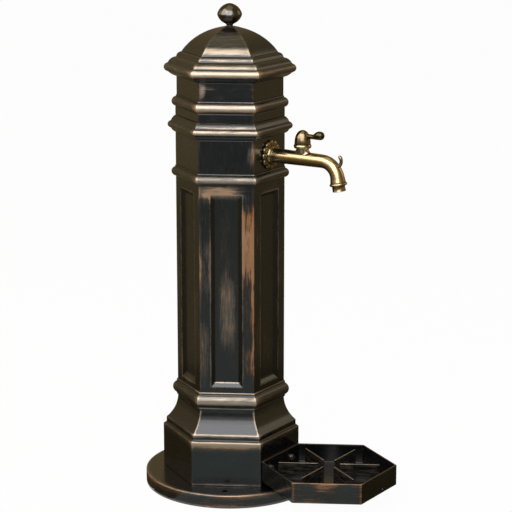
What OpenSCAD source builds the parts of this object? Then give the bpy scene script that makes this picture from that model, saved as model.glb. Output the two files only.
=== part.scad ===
// Garden standpipe: a hexagonal column of stacked castings on a round base plate,
// with a brass lever tap on one face and a ribbed drip tray bolted to the plinth below it.
// Origin on the column's axis at the underside of the base plate, tap and tray towards +X.

/* [Base plate] */
// Diameter of the base plate
base_d = 356; // [330:1:420]
// Thickness of the base plate
base_h = 28; // [24:1:40]
// Bevel round the top edge of the base plate
base_edge = 2; // [1:0.5:4]
// Diameter of each ground anchor hole
anchor_d = 12; // [8:1:16]
// Diameter of the circle of anchor holes
anchor_pcd = 302; // [290:1:320]

/* [Column] */
// Width of the shaft, the tap block and the head band across their flats
column_af = 192; // [186:1:200]
// Width of the hollow inside the column across its flats
bore_af = 168; // [160:1:172]
// Length of the lip by which a moulding sits inside its neighbour
lip_h = 6; // [4:1:10]
// Thickness of that lip
lip_wall = 5; // [4:0.5:8]
// Play between a lip and the hollow that it sits in
lip_gap = 0.3; // [0.2:0.1:0.6]

/* [Plinth] */
// Width of the plinth across its flats
plinth_af = 246; // [240:1:252]
// Wall of the plinth
plinth_wall = 8; // [6:1:10]
// Height of the plinth's upright faces
plinth_h = 92; // [80:1:110]
// Height of the bevel on top of them
plinth_bevel_h = 4; // [2:1:8]
// Width of the band above the bevel across its flats
plinth_band_af = 235; // [225:1:239]
// Height of that band
plinth_band_h = 10; // [6:1:16]
// Height of the hollow curve above the band
cavetto_h = 50; // [40:1:60]
// Depth of that curve below a straight slope
cavetto_sag = 5.4; // [2:0.1:8]

/* [Foot ring] */
// How far the ring's fillets stand out from the shaft
foot_fillet = 2; // [1:0.5:4]
// Height of the fillet under the roll
foot_low_h = 4; // [2:1:8]
// Height of the roll
foot_roll_h = 26; // [20:1:32]
// How far the roll stands out from its fillets
foot_roll_bulge = 7.3; // [4:0.1:9]
// Height of the fillet on the roll
foot_top_h = 5; // [2:1:8]

/* [Shaft] */
// Height of the panelled shaft
shaft_h = 430; // [380:1:500]
// Width of a panel, its bevels included
panel_w = 64; // [50:1:74]
// Width of the bevel round a panel
panel_bevel = 9; // [5:0.5:14]
// Depth of a panel's field below the face
panel_depth = 6; // [3:0.5:7]
// Plain rail below a panel
panel_low_rail = 12; // [8:1:30]
// Plain rail above a panel
panel_top_rail = 20; // [8:1:30]

/* [Neck ring] */
// Height of the neck ring
neck_h = 23.5; // [18:0.5:30]
// How far it stands out from the shaft
neck_bulge = 8; // [4:0.5:9]

/* [Tap block] */
// Height of the plain block that carries the tap
tap_block_h = 67; // [64:1:90]

/* [Collar moulding] */
// How far the steps beside the roll stand out from the column
collar_step = 8; // [5:0.5:10]
// Height of the slope under the roll
collar_low_h = 8.5; // [6:0.5:12]
// Height of the roll
collar_roll_h = 16.5; // [14:0.5:20]
// How far the roll stands out from the steps
collar_bulge = 6.2; // [4:0.1:6.8]
// Height of the slope above the roll
collar_top_h = 10; // [7:0.5:14]

/* [Head] */
// Height of the plain band above the collar moulding
band_h = 18; // [14:1:30]
// Height of the head ring
head_ring_h = 24; // [20:0.5:28]
// How far the head ring stands out
head_ring_bulge = 7.7; // [5:0.1:9]
// Width of the block under the roof across its flats
lantern_af = 187; // [184:1:190]
// Height of that block
lantern_h = 36.5; // [24:0.5:60]

/* [Roof] */
// How far the cornice steps out from the block below
cornice_step = 15; // [10:0.5:18]
// Height of the slope under the cornice's roll
cornice_low_h = 9.5; // [7:0.5:12]
// Height of the cornice's roll
cornice_roll_h = 20; // [16:0.5:24]
// How far that roll stands out from the step
cornice_bulge = 7.6; // [5:0.1:8]
// Height of the round shoulder on the roll
cornice_mid_h = 10.3; // [8:0.1:14]
// Height of the small bead under the dome
cornice_top_h = 10.2; // [8:0.1:14]
// Width of the dome across its flats at its foot
dome_af = 169; // [160:1:174]
// Height of the dome
dome_h = 52.5; // [46:0.5:64]
// How far the dome swells above a straight slope
dome_sag = 11; // [7:0.5:14]
// Wall of the dome
dome_wall = 9; // [7:0.5:10]

/* [Finial] */
// Diameter of the finial
finial_d = 50.2; // [44:0.2:60]
// Height of the finial
finial_h = 44.5; // [40:0.5:56]
// Diameter of the finial's neck
finial_neck_d = 14; // [13:0.5:18]

/* [Tie rod] */
// Diameter of the rod that clamps the stack
rod_d = 8; // [6:1:10]
// Play round the rod where it passes through a casting
rod_gap = 0.5; // [0.3:0.1:1]
// Depth to which the finial screws on to the rod
rod_grip = 18; // [12:1:24]
// Diameter of the pocket for the rod's nut under the base plate
rod_pocket_d = 30; // [28:1:36]
// Depth of that pocket
rod_pocket_h = 14; // [13:1:18]

/* [Supply] */
// Distance of the riser from the column's axis
riser_x = 46; // [44:1:48]
// Outer diameter of the riser pipe
riser_d = 22; // [18:1:22]
// Wall of the riser pipe
riser_wall = 1.5; // [1:0.5:2]
// Outer diameter of the supply and outlet threads
thread_d = 26.44; // [24:0.01:27]
// Length of the supply thread
supply_thread = 17; // [12:1:18]
// Diameter of the pocket round the supply thread
supply_pocket_d = 48; // [44:1:50]
// Depth of that pocket
supply_pocket_h = 20; // [19:1:21]

/* [Tap] */
// Height of the tap's axis above the foot of the tap block
tap_rise = 31.5; // [28:0.5:36]
// Outer diameter of the tap's pipe at the column's face
pipe_root_d = 30; // [27:0.5:32]
// Outer diameter to which the pipe tapers at its bend
pipe_d = 26; // [24:0.5:26.5]
// Bore of the tap
tap_bore = 15; // [12:0.5:17]
// Distance from the column's face to the valve's axis
valve_reach = 78; // [66:1:84]
// Distance from the column's face to the start of the bend
bend_reach = 124; // [116:1:140]
// Radius of the bend along its middle line
bend_r = 36; // [30:1:44]
// Angle through which the spout bends down
bend_angle = 80; // [70:1:90]
// Straight length of the spout after the bend
spout_end = 9; // [8:1:16]
// Diameter to which the spout flares at its end
flare_d = 31; // [28:0.5:33]
// Diameter of the rosette on the column's face
rosette_d = 60; // [56:1:64]
// Number of petals round the rosette
petals = 12; // [8:1:16]
// Depth of the rosette
rosette_t = 10; // [8:0.5:14]

/* [Nozzle] */
// Diameter of the nozzle's flange
nozzle_flange_d = 35; // [33:0.5:40]
// Thickness of that flange
nozzle_flange_h = 5; // [4:0.5:8]
// Length of the hose thread below the flange
nozzle_thread = 11.5; // [9:0.5:16]

/* [Valve] */
// Diameter of the upright neck over the valve
neck_d = 25; // [24:0.5:26]
// Height of the neck above the tap's axis
neck_top = 26; // [25:0.5:30]
// Bore of the valve chamber
chamber_d = 18; // [17.5:0.5:18.5]
// Height of the chamber's floor above the tap's axis
chamber_floor = 5; // [4:0.5:6]
// Thickness of each ceramic disc
disc_t = 3; // [2.5:0.5:3.5]
// Diameter of the spindle
spindle_d = 9; // [8:0.5:9.5]
// Running play round the spindle, on the radius
spindle_gap = 0.05; // [0.02:0.01:0.1]
// Diameter of the bonnet nut's rim
bonnet_d = 35.5; // [32:0.5:38]
// Height of the bonnet nut
bonnet_h = 8; // [7:0.5:9]

/* [Lever] */
// Diameter of the bell of the lever at its foot
bell_d = 32; // [29:0.5:33]
// Height of the bell
bell_h = 27.5; // [26:0.5:32]
// Gap between the bell and the bonnet nut
bell_gap = 0.5; // [0.3:0.1:1]
// Distance of the knob from the valve's axis
lever_reach = 41; // [34:1:60]
// Thickness of the lever's arm
lever_d = 9.5; // [7:0.5:10]
// Diameter of the knob on the lever's end
knob_d = 17; // [14:0.5:20]
// How far the lever turns
lever_turn = 90; // [60:1:90]

/* [Tray] */
// Width of the tray across its flats
tray_af = 238; // [220:1:260]
// Height of the tray's rim above its underside
tray_h = 42; // [34:1:50]
// Height of the tray's underside above the ground
tray_z = 40; // [36:1:50]
// Thickness of the tray's rim
tray_wall = 3.5; // [2.5:0.5:5]
// Thickness of the tray's floor
tray_floor = 4; // [3:0.5:6]
// Thickness of a rib
rib_t = 3; // [2:0.5:5]
// Distance of a rib's inner end from the tray's middle
rib_in = 22; // [12:1:40]
// Distance of a rib's outer end from the tray's middle
rib_out = 103; // [70:1:108]
// Diameter of the two bolts that carry the tray
bolt_d = 6; // [5:1:8]
// Distance between those bolts
bolt_spread = 77; // [50:1:90]
// Diameter of the drain hole
drain_d = 6; // [4:0.5:8]
// Distance of the drain hole from the middle of its wall
drain_y = 14; // [0:1:40]

/* [Hidden] */
$fn = 64;

// A hexagon's corner radius is its half width times this
corner = 1 / cos(30);
// Straight pieces in each rounded stretch of a moulding
steps = 8;
// Length by which a cut runs past the face that it opens
past = 1;

patina = "#2f2b27";
brass = "#b8923f";
steel = "#9a9a98";
copper = "#b4673f";
rubber = "#1d1d1d";
ceramic = "#e6e4de";

// Half widths of the column's parts
column = column_af / 2;
lantern = lantern_af / 2;
plinth_half = plinth_af / 2;
band_half = plinth_band_af / 2;
dome_half = dome_af / 2;
dome_bore_af = dome_af - 2 * dome_wall;
lip_af = bore_af - 2 * lip_gap;
throat_af = lip_af - 2 * lip_wall;

// Heights of the joints between the stacked castings
foot_h = foot_low_h + foot_roll_h + foot_top_h;
collar_h = collar_low_h + collar_roll_h + collar_top_h;
cornice_h = cornice_low_h + cornice_roll_h + cornice_mid_h + cornice_top_h;
plinth_top = plinth_h + plinth_bevel_h + plinth_band_h + cavetto_h;
foot_z = base_h + plinth_top;
shaft_z = foot_z + foot_h;
neck_z = shaft_z + shaft_h;
tap_block_z = neck_z + neck_h;
collar_z = tap_block_z + tap_block_h;
band_z = collar_z + collar_h;
head_ring_z = band_z + band_h;
lantern_z = head_ring_z + head_ring_h;
cornice_z = lantern_z + lantern_h;
dome_z = cornice_z + cornice_h;
finial_z = dome_z + dome_h;

// How much the sloped and shouldered stretches of the mouldings swell
slope_sag = 1.3;
shoulder_sag = 2.6;

// Screws that hold the plinth on the base plate
base_screw_d = 8;
base_screw_gap = 0.5;
base_screw_head_d = 13;
base_screw_head_h = 8;
base_screw_sink = 9;
base_screw_grip = 18;
base_boss_d = 28;
base_boss_h = 24;
base_screw_r = (plinth_half - plinth_wall) * corner - base_boss_d / 2;
base_screw_angles = [90, 210, 330];
anchor_angles = [60, 180, 300];

// Nut and washer of the tie rod
rod_nut_af = 1.6 * rod_d;
rod_nut_h = 0.8 * rod_d;
rod_washer_d = 24;
rod_washer_t = 2.5;
rod_foot = 2;
thread_gap = 0.05;

// Supply fittings
socket_wall = 4;
socket_depth = 20;
socket_d = riser_d + 2 * socket_wall;
union_hex_af = 36;
union_hex_h = 12;
union_shank_gap = 0.6;
union_h = union_hex_h + socket_depth;
union_bore = riser_d - 2 * riser_wall;
riser_nut_af = 32;
riser_nut_h = 9;
elbow_wall = 4;
elbow_d = thread_d + 2 * elbow_wall;
elbow_drop = 36;

// Places along the tap, from the column's axis, and heights above the tap's axis
tap_z = tap_block_z + tap_rise;
valve_x = column + valve_reach;
bend_x = column + bend_reach;
wall_in = bore_af / 2;
tap_washer_t = 2;
backnut_t = 8;
backnut_af = 36;
backnut_x = wall_in - tap_washer_t - backnut_t;
elbow_mouth = backnut_x - 2;
tail_grip = 16;
tail_x = elbow_mouth - tail_grip;
shoulder_d = 38;
shoulder_t = 4;
valve_bridge = 6;
bend_lap = 2;
bend_step = 0.4;
hook_r = 12;
hook_d = 5.4;
hook_low = -72;
hook_high = 45;
hook_x = bend_x + 31;
hook_z = 4;
rosette_plate_t = 4;
petal_d = 15;
rosette_gap = 0.2;

// Spigot of the nozzle inside the spout
nozzle_spigot_d = 20;
nozzle_spigot_h = 6;
nozzle_bore = 16;
nozzle_washer_t = 1;
nozzle_gap = 0.1;

// Heights inside the valve, above the tap's axis
seal_t = 1.5;
valve_gap = 0.1;
fixed_disc_z = chamber_floor + seal_t;
moving_disc_z = fixed_disc_z + disc_t + spindle_gap;
spindle_foot_z = moving_disc_z + disc_t;
spindle_foot_h = 3;
cartridge_z = fixed_disc_z + disc_t;
cartridge_d = chamber_d - 2 * valve_gap;
cartridge_skirt_wall = 1.3;
moving_disc_d = cartridge_d - 2 * cartridge_skirt_wall - 2 * valve_gap;
cartridge_flange_d = neck_d - 0.2;
cartridge_flange_h = 2;
cartridge_neck_d = 16;
cartridge_top = neck_top + 12;
seal_groove_z = spindle_foot_z + spindle_foot_h + 2.5;
seal_d = 2.4;
seal_squeeze = 0.05;
seal_groove_h = seal_d + 2 * seal_squeeze;
port_d = 4;
port_x = 5;
bonnet_lip = 1.5;
bonnet_z = neck_top + cartridge_flange_h + bonnet_lip - bonnet_h;
bell_z = neck_top + cartridge_flange_h + bonnet_lip + bell_gap;
bell_cavity_d = 23;
bell_cavity_h = 10;
square_w = 6.4;
square_h = 9;
square_gap = 0.05;
square_z = bell_z + bell_cavity_h;
lever_z = bell_z + 16;
knob_drop = 0.7;
knob_z = lever_z + (knob_d - lever_d) / 2 - knob_drop;
handle_screw_d = 4;
handle_screw_l = 9;

// Tray
tray_half = tray_af / 2;
tray_x = plinth_half + tray_half;
tray_top = tray_z + tray_h;
bolt_z = tray_z + tray_h / 2;
bolt_gap = 0.4;
bolt_head_af = 13 * bolt_d / 8;
bolt_head_h = 5.3 * bolt_d / 8;
bolt_washer_d = 2 * bolt_d;
bolt_washer_t = 1.6;
bolt_end = 3;
nut_t = 6.5 * bolt_d / 8;
drain_z = tray_z + tray_floor + drain_d / 2 + 1;

// Points of a round stretch from p to q that swells by sag to the right of the way up
function swell(p, q, sag) =
  let (
    way = q - p,
    chord = norm(way),
    out = [way.y, -way.x] / chord,
    side = sign(sag),
    radius = (chord * chord / 4 + sag * sag) / (2 * abs(sag)),
    middle = (p + q) / 2 + out * (sag - side * radius),
    half = asin(min(1, chord / 2 / radius))
  )
  [for (i = [0 : steps])
    let (turn = half * (2 * i / steps - 1))
    middle + radius * (side * out * cos(turn) + way / chord * sin(turn))];

// An outline and its mirror image, as one closed outline
function mirrored(outline) =
  concat(outline, [for (i = [len(outline) - 1 : -1 : 0]) [-outline[i].x, outline[i].y]]);

// Outlines of the castings, as half width and height, from the foot up
plinth_outline = concat(
  [[plinth_half, 0], [plinth_half, plinth_h], [band_half, plinth_h + plinth_bevel_h]],
  swell([band_half, plinth_top - cavetto_h], [column, plinth_top], -cavetto_sag)
);
foot_half = column + foot_fillet;
foot_outline = concat(
  [[foot_half, 0]],
  swell([foot_half, foot_low_h], [foot_half, foot_low_h + foot_roll_h], foot_roll_bulge),
  [[foot_half, foot_h]]
);
neck_outline = swell([column, 0], [column, neck_h], neck_bulge);
collar_half = column + collar_step;
collar_roll_top = collar_low_h + collar_roll_h;
collar_outline = concat(
  swell([column, 0], [collar_half, collar_low_h], slope_sag),
  swell([collar_half, collar_low_h], [collar_half, collar_roll_top], collar_bulge),
  swell([collar_half, collar_roll_top], [column, collar_h], slope_sag)
);
head_ring_outline = swell([column, 0], [lantern, head_ring_h], head_ring_bulge);
cornice_half = lantern + cornice_step;
cornice_roll_top = cornice_low_h + cornice_roll_h;
cornice_mid_top = cornice_roll_top + cornice_mid_h;
cornice_outline = concat(
  swell([lantern, 0], [cornice_half, cornice_low_h], slope_sag),
  swell([cornice_half, cornice_low_h], [cornice_half, cornice_roll_top], cornice_bulge),
  swell([cornice_half, cornice_roll_top], [lantern, cornice_mid_top], shoulder_sag),
  swell([lantern, cornice_mid_top], [dome_half, cornice_h], shoulder_sag)
);
dome_outline = swell([dome_half, 0], [0, dome_h], dome_sag);
dome_hollow = concat(
  [[dome_bore_af / 2, -past]],
  swell([dome_bore_af / 2, lip_h + past], [0, dome_h - dome_wall], dome_sag - past)
);

// Six-sided moulding: three long bars of the outline, crossed so that they mitre at the corners
module mitred(outline) {
  intersection_for (turn = [0, 60, 120])
    rotate([0, 0, turn])
      rotate([90, 0, 0])
        linear_extrude(height = 2 * base_d, center = true)
          polygon(mirrored(outline));
}

// Upright six-sided bar with a flat towards +X
module hexagon(width, height) {
  rotate([0, 0, 30])
    cylinder(d = width * corner, h = height, $fn = 6);
}

// Moulding with a lip above and below that sits inside its neighbours
module lipped_moulding(outline, height, upper_af) {
  difference() {
    union() {
      mitred(outline);
      translate([0, 0, -lip_h])
        hexagon(lip_af, lip_h + past);
      translate([0, 0, height - past])
        hexagon(upper_af, lip_h + past);
    }
    translate([0, 0, -lip_h - past])
      hexagon(min(throat_af, upper_af - 2 * lip_wall), height + 2 * lip_h + 2 * past);
  }
}

// Plain six-sided tube
module hex_tube(width, hollow, height) {
  difference() {
    hexagon(width, height);
    translate([0, 0, -past])
      hexagon(hollow, height + 2 * past);
  }
}

// Round bar along X at the height of the tap's axis
module along_x(from, to, diameter) {
  translate([from, 0, tap_z])
    rotate([0, 90, 0])
      cylinder(d = diameter, h = to - from);
}

// Six-sided nut along X at the height of the tap's axis
module nut_along_x(from, to, width, hole) {
  translate([from, 0, tap_z])
    rotate([0, 90, 0])
      difference() {
        cylinder(d = width * corner, h = to - from, $fn = 6);
        translate([0, 0, -past])
          cylinder(d = hole, h = to - from + 2 * past);
      }
}

// Flat ring
module washer(outer, inner, thickness) {
  difference() {
    cylinder(d = outer, h = thickness);
    translate([0, 0, -past])
      cylinder(d = inner, h = thickness + 2 * past);
  }
}

// Frame whose +Z runs down the spout from the end of the bend
module at_spout_end() {
  translate([bend_x + bend_r * sin(bend_angle), 0, tap_z - bend_r * (1 - cos(bend_angle))])
    rotate([0, 90 + bend_angle, 0])
      children();
}

// Part of a ring that follows the spout's bend, and starts a little way inside the straight pipe
module spout_bend(diameter) {
  translate([bend_x, 0, tap_z - bend_r])
    rotate([90, 0, 0])
      rotate([0, 0, 90 - bend_angle])
        rotate_extrude(angle = bend_angle + bend_lap)
          translate([bend_r, 0])
            circle(d = diameter - bend_step);
}

// Frame on the valve's axis at a height above the tap's axis
module at_valve(height) {
  translate([valve_x, 0, tap_z + height])
    children();
}

module base_plate() {
  rim = base_d / 2;
  color(patina)
    difference() {
      rotate_extrude($fn = 180)
        polygon([[0, 0], [rim, 0], [rim, base_h - base_edge], [rim - base_edge, base_h], [0, base_h]]);
      for (turn = anchor_angles)
        rotate([0, 0, turn])
          translate([anchor_pcd / 2, 0, -past])
            cylinder(d = anchor_d, h = base_h + 2 * past);
      for (turn = base_screw_angles)
        rotate([0, 0, turn])
          translate([base_screw_r, 0, -past]) {
            cylinder(d = base_screw_d + 2 * base_screw_gap, h = base_h + 2 * past);
            cylinder(d = base_screw_head_d + 2 * base_screw_gap, h = base_screw_sink + past);
          }
      translate([0, 0, -past]) {
        cylinder(d = rod_d + 2 * rod_gap, h = base_h + 2 * past);
        cylinder(d = rod_pocket_d, h = rod_pocket_h + past);
      }
      translate([riser_x, 0, -past]) {
        cylinder(d = thread_d + 2 * union_shank_gap, h = base_h + 2 * past);
        cylinder(d = supply_pocket_d, h = supply_pocket_h + past);
      }
    }
}

module plinth() {
  hollow_h = plinth_h - plinth_wall;
  color(patina)
    translate([0, 0, base_h])
      difference() {
        union() {
          difference() {
            mitred(plinth_outline);
            translate([0, 0, -past])
              hexagon(plinth_af - 2 * plinth_wall, hollow_h + past);
          }
          intersection() {
            for (turn = base_screw_angles)
              rotate([0, 0, turn])
                translate([base_screw_r, 0, 0])
                  cylinder(d = base_boss_d, h = base_boss_h);
            hexagon(plinth_af - plinth_wall, base_boss_h);
          }
        }
        translate([0, 0, -past])
          hexagon(bore_af, plinth_top + 2 * past);
        for (turn = base_screw_angles)
          rotate([0, 0, turn])
            translate([base_screw_r, 0, -past])
              cylinder(d = base_screw_d + 2 * thread_gap, h = base_screw_grip + 2 * past);
        for (side = [-1, 1])
          translate([0, side * bolt_spread / 2, bolt_z - base_h])
            rotate([0, 90, 0])
              cylinder(d = bolt_d + 2 * bolt_gap, h = plinth_af);
      }
}

module foot_ring() {
  color(patina)
    translate([0, 0, foot_z])
      lipped_moulding(foot_outline, foot_h, lip_af);
}

// Bevelled recess of a panel, its field at the given depth below the face
module panel_cut() {
  field = panel_w / 2 - panel_bevel;
  low = panel_low_rail;
  high = shaft_h - panel_top_rail;
  run = panel_bevel * past / panel_depth;
  face = column + past;
  floor = column - panel_depth;
  intersection() {
    linear_extrude(height = shaft_h)
      polygon([
        [floor, -field], [face, -panel_w / 2 - run], [face, panel_w / 2 + run], [floor, field]
      ]);
    rotate([90, 0, 0])
      linear_extrude(height = 2 * panel_w, center = true)
        polygon([
          [floor, low + panel_bevel], [face, low - run], [face, high + run], [floor, high - panel_bevel]
        ]);
  }
}

module shaft() {
  color(patina)
    translate([0, 0, shaft_z])
      difference() {
        hex_tube(column_af, bore_af, shaft_h);
        for (turn = [0 : 60 : 300])
          rotate([0, 0, turn])
            panel_cut();
      }
}

module neck_ring() {
  color(patina)
    translate([0, 0, neck_z])
      lipped_moulding(neck_outline, neck_h, lip_af);
}

module tap_block() {
  color(patina)
    difference() {
      translate([0, 0, tap_block_z])
        hex_tube(column_af, bore_af, tap_block_h);
      along_x(wall_in - past, column + past, thread_d + 2 * rod_gap);
    }
}

module collar_moulding() {
  color(patina)
    translate([0, 0, collar_z])
      lipped_moulding(collar_outline, collar_h, lip_af);
}

module head_band() {
  color(patina)
    translate([0, 0, band_z])
      hex_tube(column_af, bore_af, band_h);
}

module head_ring() {
  color(patina)
    translate([0, 0, head_ring_z])
      lipped_moulding(head_ring_outline, head_ring_h, lip_af);
}

module lantern_block() {
  color(patina)
    translate([0, 0, lantern_z])
      hex_tube(lantern_af, bore_af, lantern_h);
}

module roof_cornice() {
  color(patina)
    translate([0, 0, cornice_z])
      lipped_moulding(cornice_outline, cornice_h, dome_bore_af - 2 * lip_gap);
}

module dome_cap() {
  seat_r = finial_neck_d / 2;
  color(patina)
    translate([0, 0, dome_z])
      difference() {
        union() {
          mitred(dome_outline);
          translate([0, 0, dome_h - dome_wall])
            cylinder(r1 = 2 * seat_r, r2 = seat_r, h = dome_wall);
        }
        mitred(dome_hollow);
        cylinder(d = rod_d + 2 * rod_gap, h = dome_h + past);
      }
}

module finial() {
  neck_r = finial_neck_d / 2;
  waist_h = 3;
  belly_h = finial_h / 2;
  lower_sag = 3.4;
  upper_sag = 5.4;
  color(patina)
    translate([0, 0, finial_z])
      difference() {
        rotate_extrude()
          polygon(concat(
            [[0, 0], [neck_r, 0]],
            swell([neck_r, waist_h], [finial_d / 2, belly_h], lower_sag),
            swell([finial_d / 2, belly_h], [0, finial_h], upper_sag)
          ));
        translate([0, 0, -past])
          cylinder(d = rod_d + 2 * thread_gap, h = rod_grip + 2 * past);
      }
}

module tie_rod() {
  color(steel)
    translate([0, 0, rod_foot])
      cylinder(d = rod_d, h = finial_z + rod_grip - rod_foot);
}

module tie_rod_nut() {
  color(steel)
    translate([0, 0, rod_pocket_h - rod_washer_t - rod_nut_h])
      difference() {
        cylinder(d = rod_nut_af * corner, h = rod_nut_h, $fn = 6);
        translate([0, 0, -past])
          cylinder(d = rod_d + 2 * thread_gap, h = rod_nut_h + 2 * past);
      }
}

module tie_rod_washer() {
  color(steel)
    translate([0, 0, rod_pocket_h - rod_washer_t])
      washer(rod_washer_d, rod_d + 2 * rod_gap, rod_washer_t);
}

module base_screws() {
  color(steel)
    for (turn = base_screw_angles)
      rotate([0, 0, turn])
        translate([base_screw_r, 0, base_screw_sink - base_screw_head_h]) {
          cylinder(d = base_screw_head_d, h = base_screw_head_h);
          cylinder(d = base_screw_d, h = base_h + base_screw_grip - base_screw_sink + base_screw_head_h);
        }
}

module inlet_union() {
  thread_top = supply_pocket_h - past;
  color(brass)
    translate([riser_x, 0, 0])
      difference() {
        union() {
          translate([0, 0, thread_top - supply_thread])
            cylinder(d = thread_d, h = supply_thread);
          translate([0, 0, thread_top - past])
            cylinder(d = thread_d - 2 * union_shank_gap, h = base_h - thread_top + 2 * past);
          translate([0, 0, base_h])
            cylinder(d = union_hex_af * corner, h = union_hex_h, $fn = 6);
          translate([0, 0, base_h + union_hex_h - past])
            cylinder(d = socket_d, h = socket_depth + past);
        }
        cylinder(d = union_bore, h = base_h + union_h);
        translate([0, 0, base_h + union_hex_h])
          cylinder(d = riser_d + 2 * thread_gap, h = socket_depth + past);
      }
}

module riser_pipe() {
  foot = base_h + union_hex_h;
  head = tap_z - elbow_drop + socket_depth;
  color(copper)
    translate([riser_x, 0, foot])
      washer(riser_d, riser_d - 2 * riser_wall, head - foot);
}

module riser_nuts() {
  color(brass)
    for (z = [base_h + union_h, tap_z - elbow_drop - riser_nut_h])
      translate([riser_x, 0, z])
        difference() {
          cylinder(d = riser_nut_af * corner, h = riser_nut_h, $fn = 6);
          translate([0, 0, -past])
            cylinder(d = riser_d + 2 * thread_gap, h = riser_nut_h + 2 * past);
        }
}

module inlet_elbow() {
  color(brass)
    difference() {
      union() {
        along_x(riser_x, elbow_mouth, elbow_d);
        translate([riser_x, 0, tap_z])
          sphere(d = elbow_d + past);
        translate([riser_x, 0, tap_z - elbow_drop])
          cylinder(d = socket_d, h = elbow_drop);
      }
      along_x(riser_x, elbow_mouth, union_bore);
      along_x(tail_x, elbow_mouth + past, thread_d + 2 * thread_gap);
      translate([riser_x, 0, tap_z - elbow_drop])
        cylinder(d = union_bore, h = elbow_drop);
      translate([riser_x, 0, tap_z - elbow_drop - past])
        cylinder(d = riser_d + 2 * thread_gap, h = socket_depth + past);
    }
}

// Curled nub on the spout that stops a bucket's handle from sliding off
module bucket_hook() {
  translate([hook_x, 0, tap_z + hook_z])
    rotate([90, 0, 0]) {
      rotate([0, 0, hook_low])
        rotate_extrude(angle = hook_high - hook_low)
          translate([hook_r, 0])
            circle(d = hook_d);
      rotate([0, 0, hook_high])
        translate([hook_r, 0, 0])
          sphere(d = hook_d + rosette_gap);
    }
}

module tap_body() {
  color(brass)
    difference() {
      union() {
        along_x(tail_x, column, thread_d);
        along_x(column, column + shoulder_t, shoulder_d);
        translate([column, 0, tap_z])
          rotate([0, 90, 0])
            cylinder(d1 = pipe_root_d, d2 = pipe_d, h = bend_reach);
        spout_bend(pipe_d);
        at_spout_end()
          translate([0, 0, -past])
            cylinder(d1 = pipe_d, d2 = flare_d, h = spout_end + past);
        at_valve(0)
          cylinder(d = neck_d, h = neck_top);
        bucket_hook();
      }
      along_x(tail_x - past, valve_x - valve_bridge / 2, tap_bore);
      along_x(valve_x + valve_bridge / 2, bend_x, tap_bore);
      spout_bend(tap_bore);
      at_spout_end() {
        translate([0, 0, -past])
          cylinder(d = tap_bore, h = spout_end + 2 * past);
        translate([0, 0, spout_end - nozzle_spigot_h])
          cylinder(d = nozzle_spigot_d + 2 * nozzle_gap, h = nozzle_spigot_h + past);
      }
      at_valve(chamber_floor)
        cylinder(d = chamber_d, h = neck_top);
    }
}

module rosette() {
  ring_r = (rosette_d - petal_d) / 2;
  boss_foot = ring_r + rosette_gap;
  boss_head = pipe_root_d / 2 + 2;
  color(brass)
    translate([column, 0, tap_z])
      rotate([0, 90, 0])
        difference() {
          union() {
            linear_extrude(height = rosette_plate_t) {
              circle(r = ring_r);
              for (i = [0 : petals - 1])
                rotate([0, 0, 360 * (i + 0.5) / petals])
                  translate([ring_r, 0])
                    circle(d = petal_d);
            }
            rotate_extrude()
              polygon(concat(
                [[0, rosette_plate_t - past], [boss_foot, rosette_plate_t - past]],
                swell([boss_foot, rosette_plate_t], [boss_head, rosette_t], 1),
                [[0, rosette_t]]
              ));
          }
          translate([0, 0, -past])
            cylinder(d = shoulder_d + 2 * rosette_gap, h = shoulder_t + rosette_gap + past);
          translate([0, 0, -past])
            cylinder(d = pipe_root_d + 2 * rosette_gap, h = rosette_t + 2 * past);
        }
}

module tap_washer() {
  color(rubber)
    translate([wall_in - tap_washer_t, 0, tap_z])
      rotate([0, 90, 0])
        washer(backnut_af, thread_d + 2 * rod_gap, tap_washer_t);
}

module tap_backnut() {
  color(brass)
    nut_along_x(backnut_x, backnut_x + backnut_t, backnut_af, thread_d + 2 * thread_gap);
}

module spout_nozzle() {
  foot = spout_end + nozzle_washer_t;
  rim = nozzle_flange_d / 2;
  edge = 1;
  color(brass)
    at_spout_end()
      difference() {
        union() {
          translate([0, 0, spout_end - nozzle_spigot_h + edge])
            cylinder(d = nozzle_spigot_d, h = nozzle_spigot_h + nozzle_washer_t);
          translate([0, 0, foot])
            rotate_extrude()
              polygon([
                [0, 0], [rim - edge, 0], [rim, edge],
                [rim, nozzle_flange_h - edge], [rim - edge, nozzle_flange_h], [0, nozzle_flange_h]
              ]);
          translate([0, 0, foot + nozzle_flange_h - edge])
            cylinder(d = thread_d, h = nozzle_thread + edge);
        }
        cylinder(d = nozzle_bore, h = foot + nozzle_flange_h + nozzle_thread + past);
      }
}

module nozzle_washer() {
  color(rubber)
    at_spout_end()
      translate([0, 0, spout_end])
        washer(flare_d, nozzle_spigot_d + 2 * nozzle_gap, nozzle_washer_t);
}

module valve_cartridge() {
  cavity_top = spindle_foot_z + spindle_foot_h + valve_gap;
  stem_hole = spindle_d + 2 * spindle_gap;
  color(brass)
    difference() {
      union() {
        at_valve(cartridge_z)
          cylinder(d = cartridge_d, h = neck_top - cartridge_z + past);
        at_valve(neck_top)
          cylinder(d = cartridge_flange_d, h = cartridge_flange_h);
        at_valve(neck_top)
          cylinder(d = cartridge_neck_d, h = cartridge_top - neck_top);
      }
      at_valve(cartridge_z - past)
        cylinder(d = moving_disc_d + 2 * valve_gap, h = cavity_top - cartridge_z + past);
      at_valve(cartridge_z)
        cylinder(d = stem_hole, h = cartridge_top);
      at_valve(seal_groove_z)
        cylinder(d = stem_hole + 2 * seal_d + 4 * seal_squeeze, h = seal_groove_h);
    }
}

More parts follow.
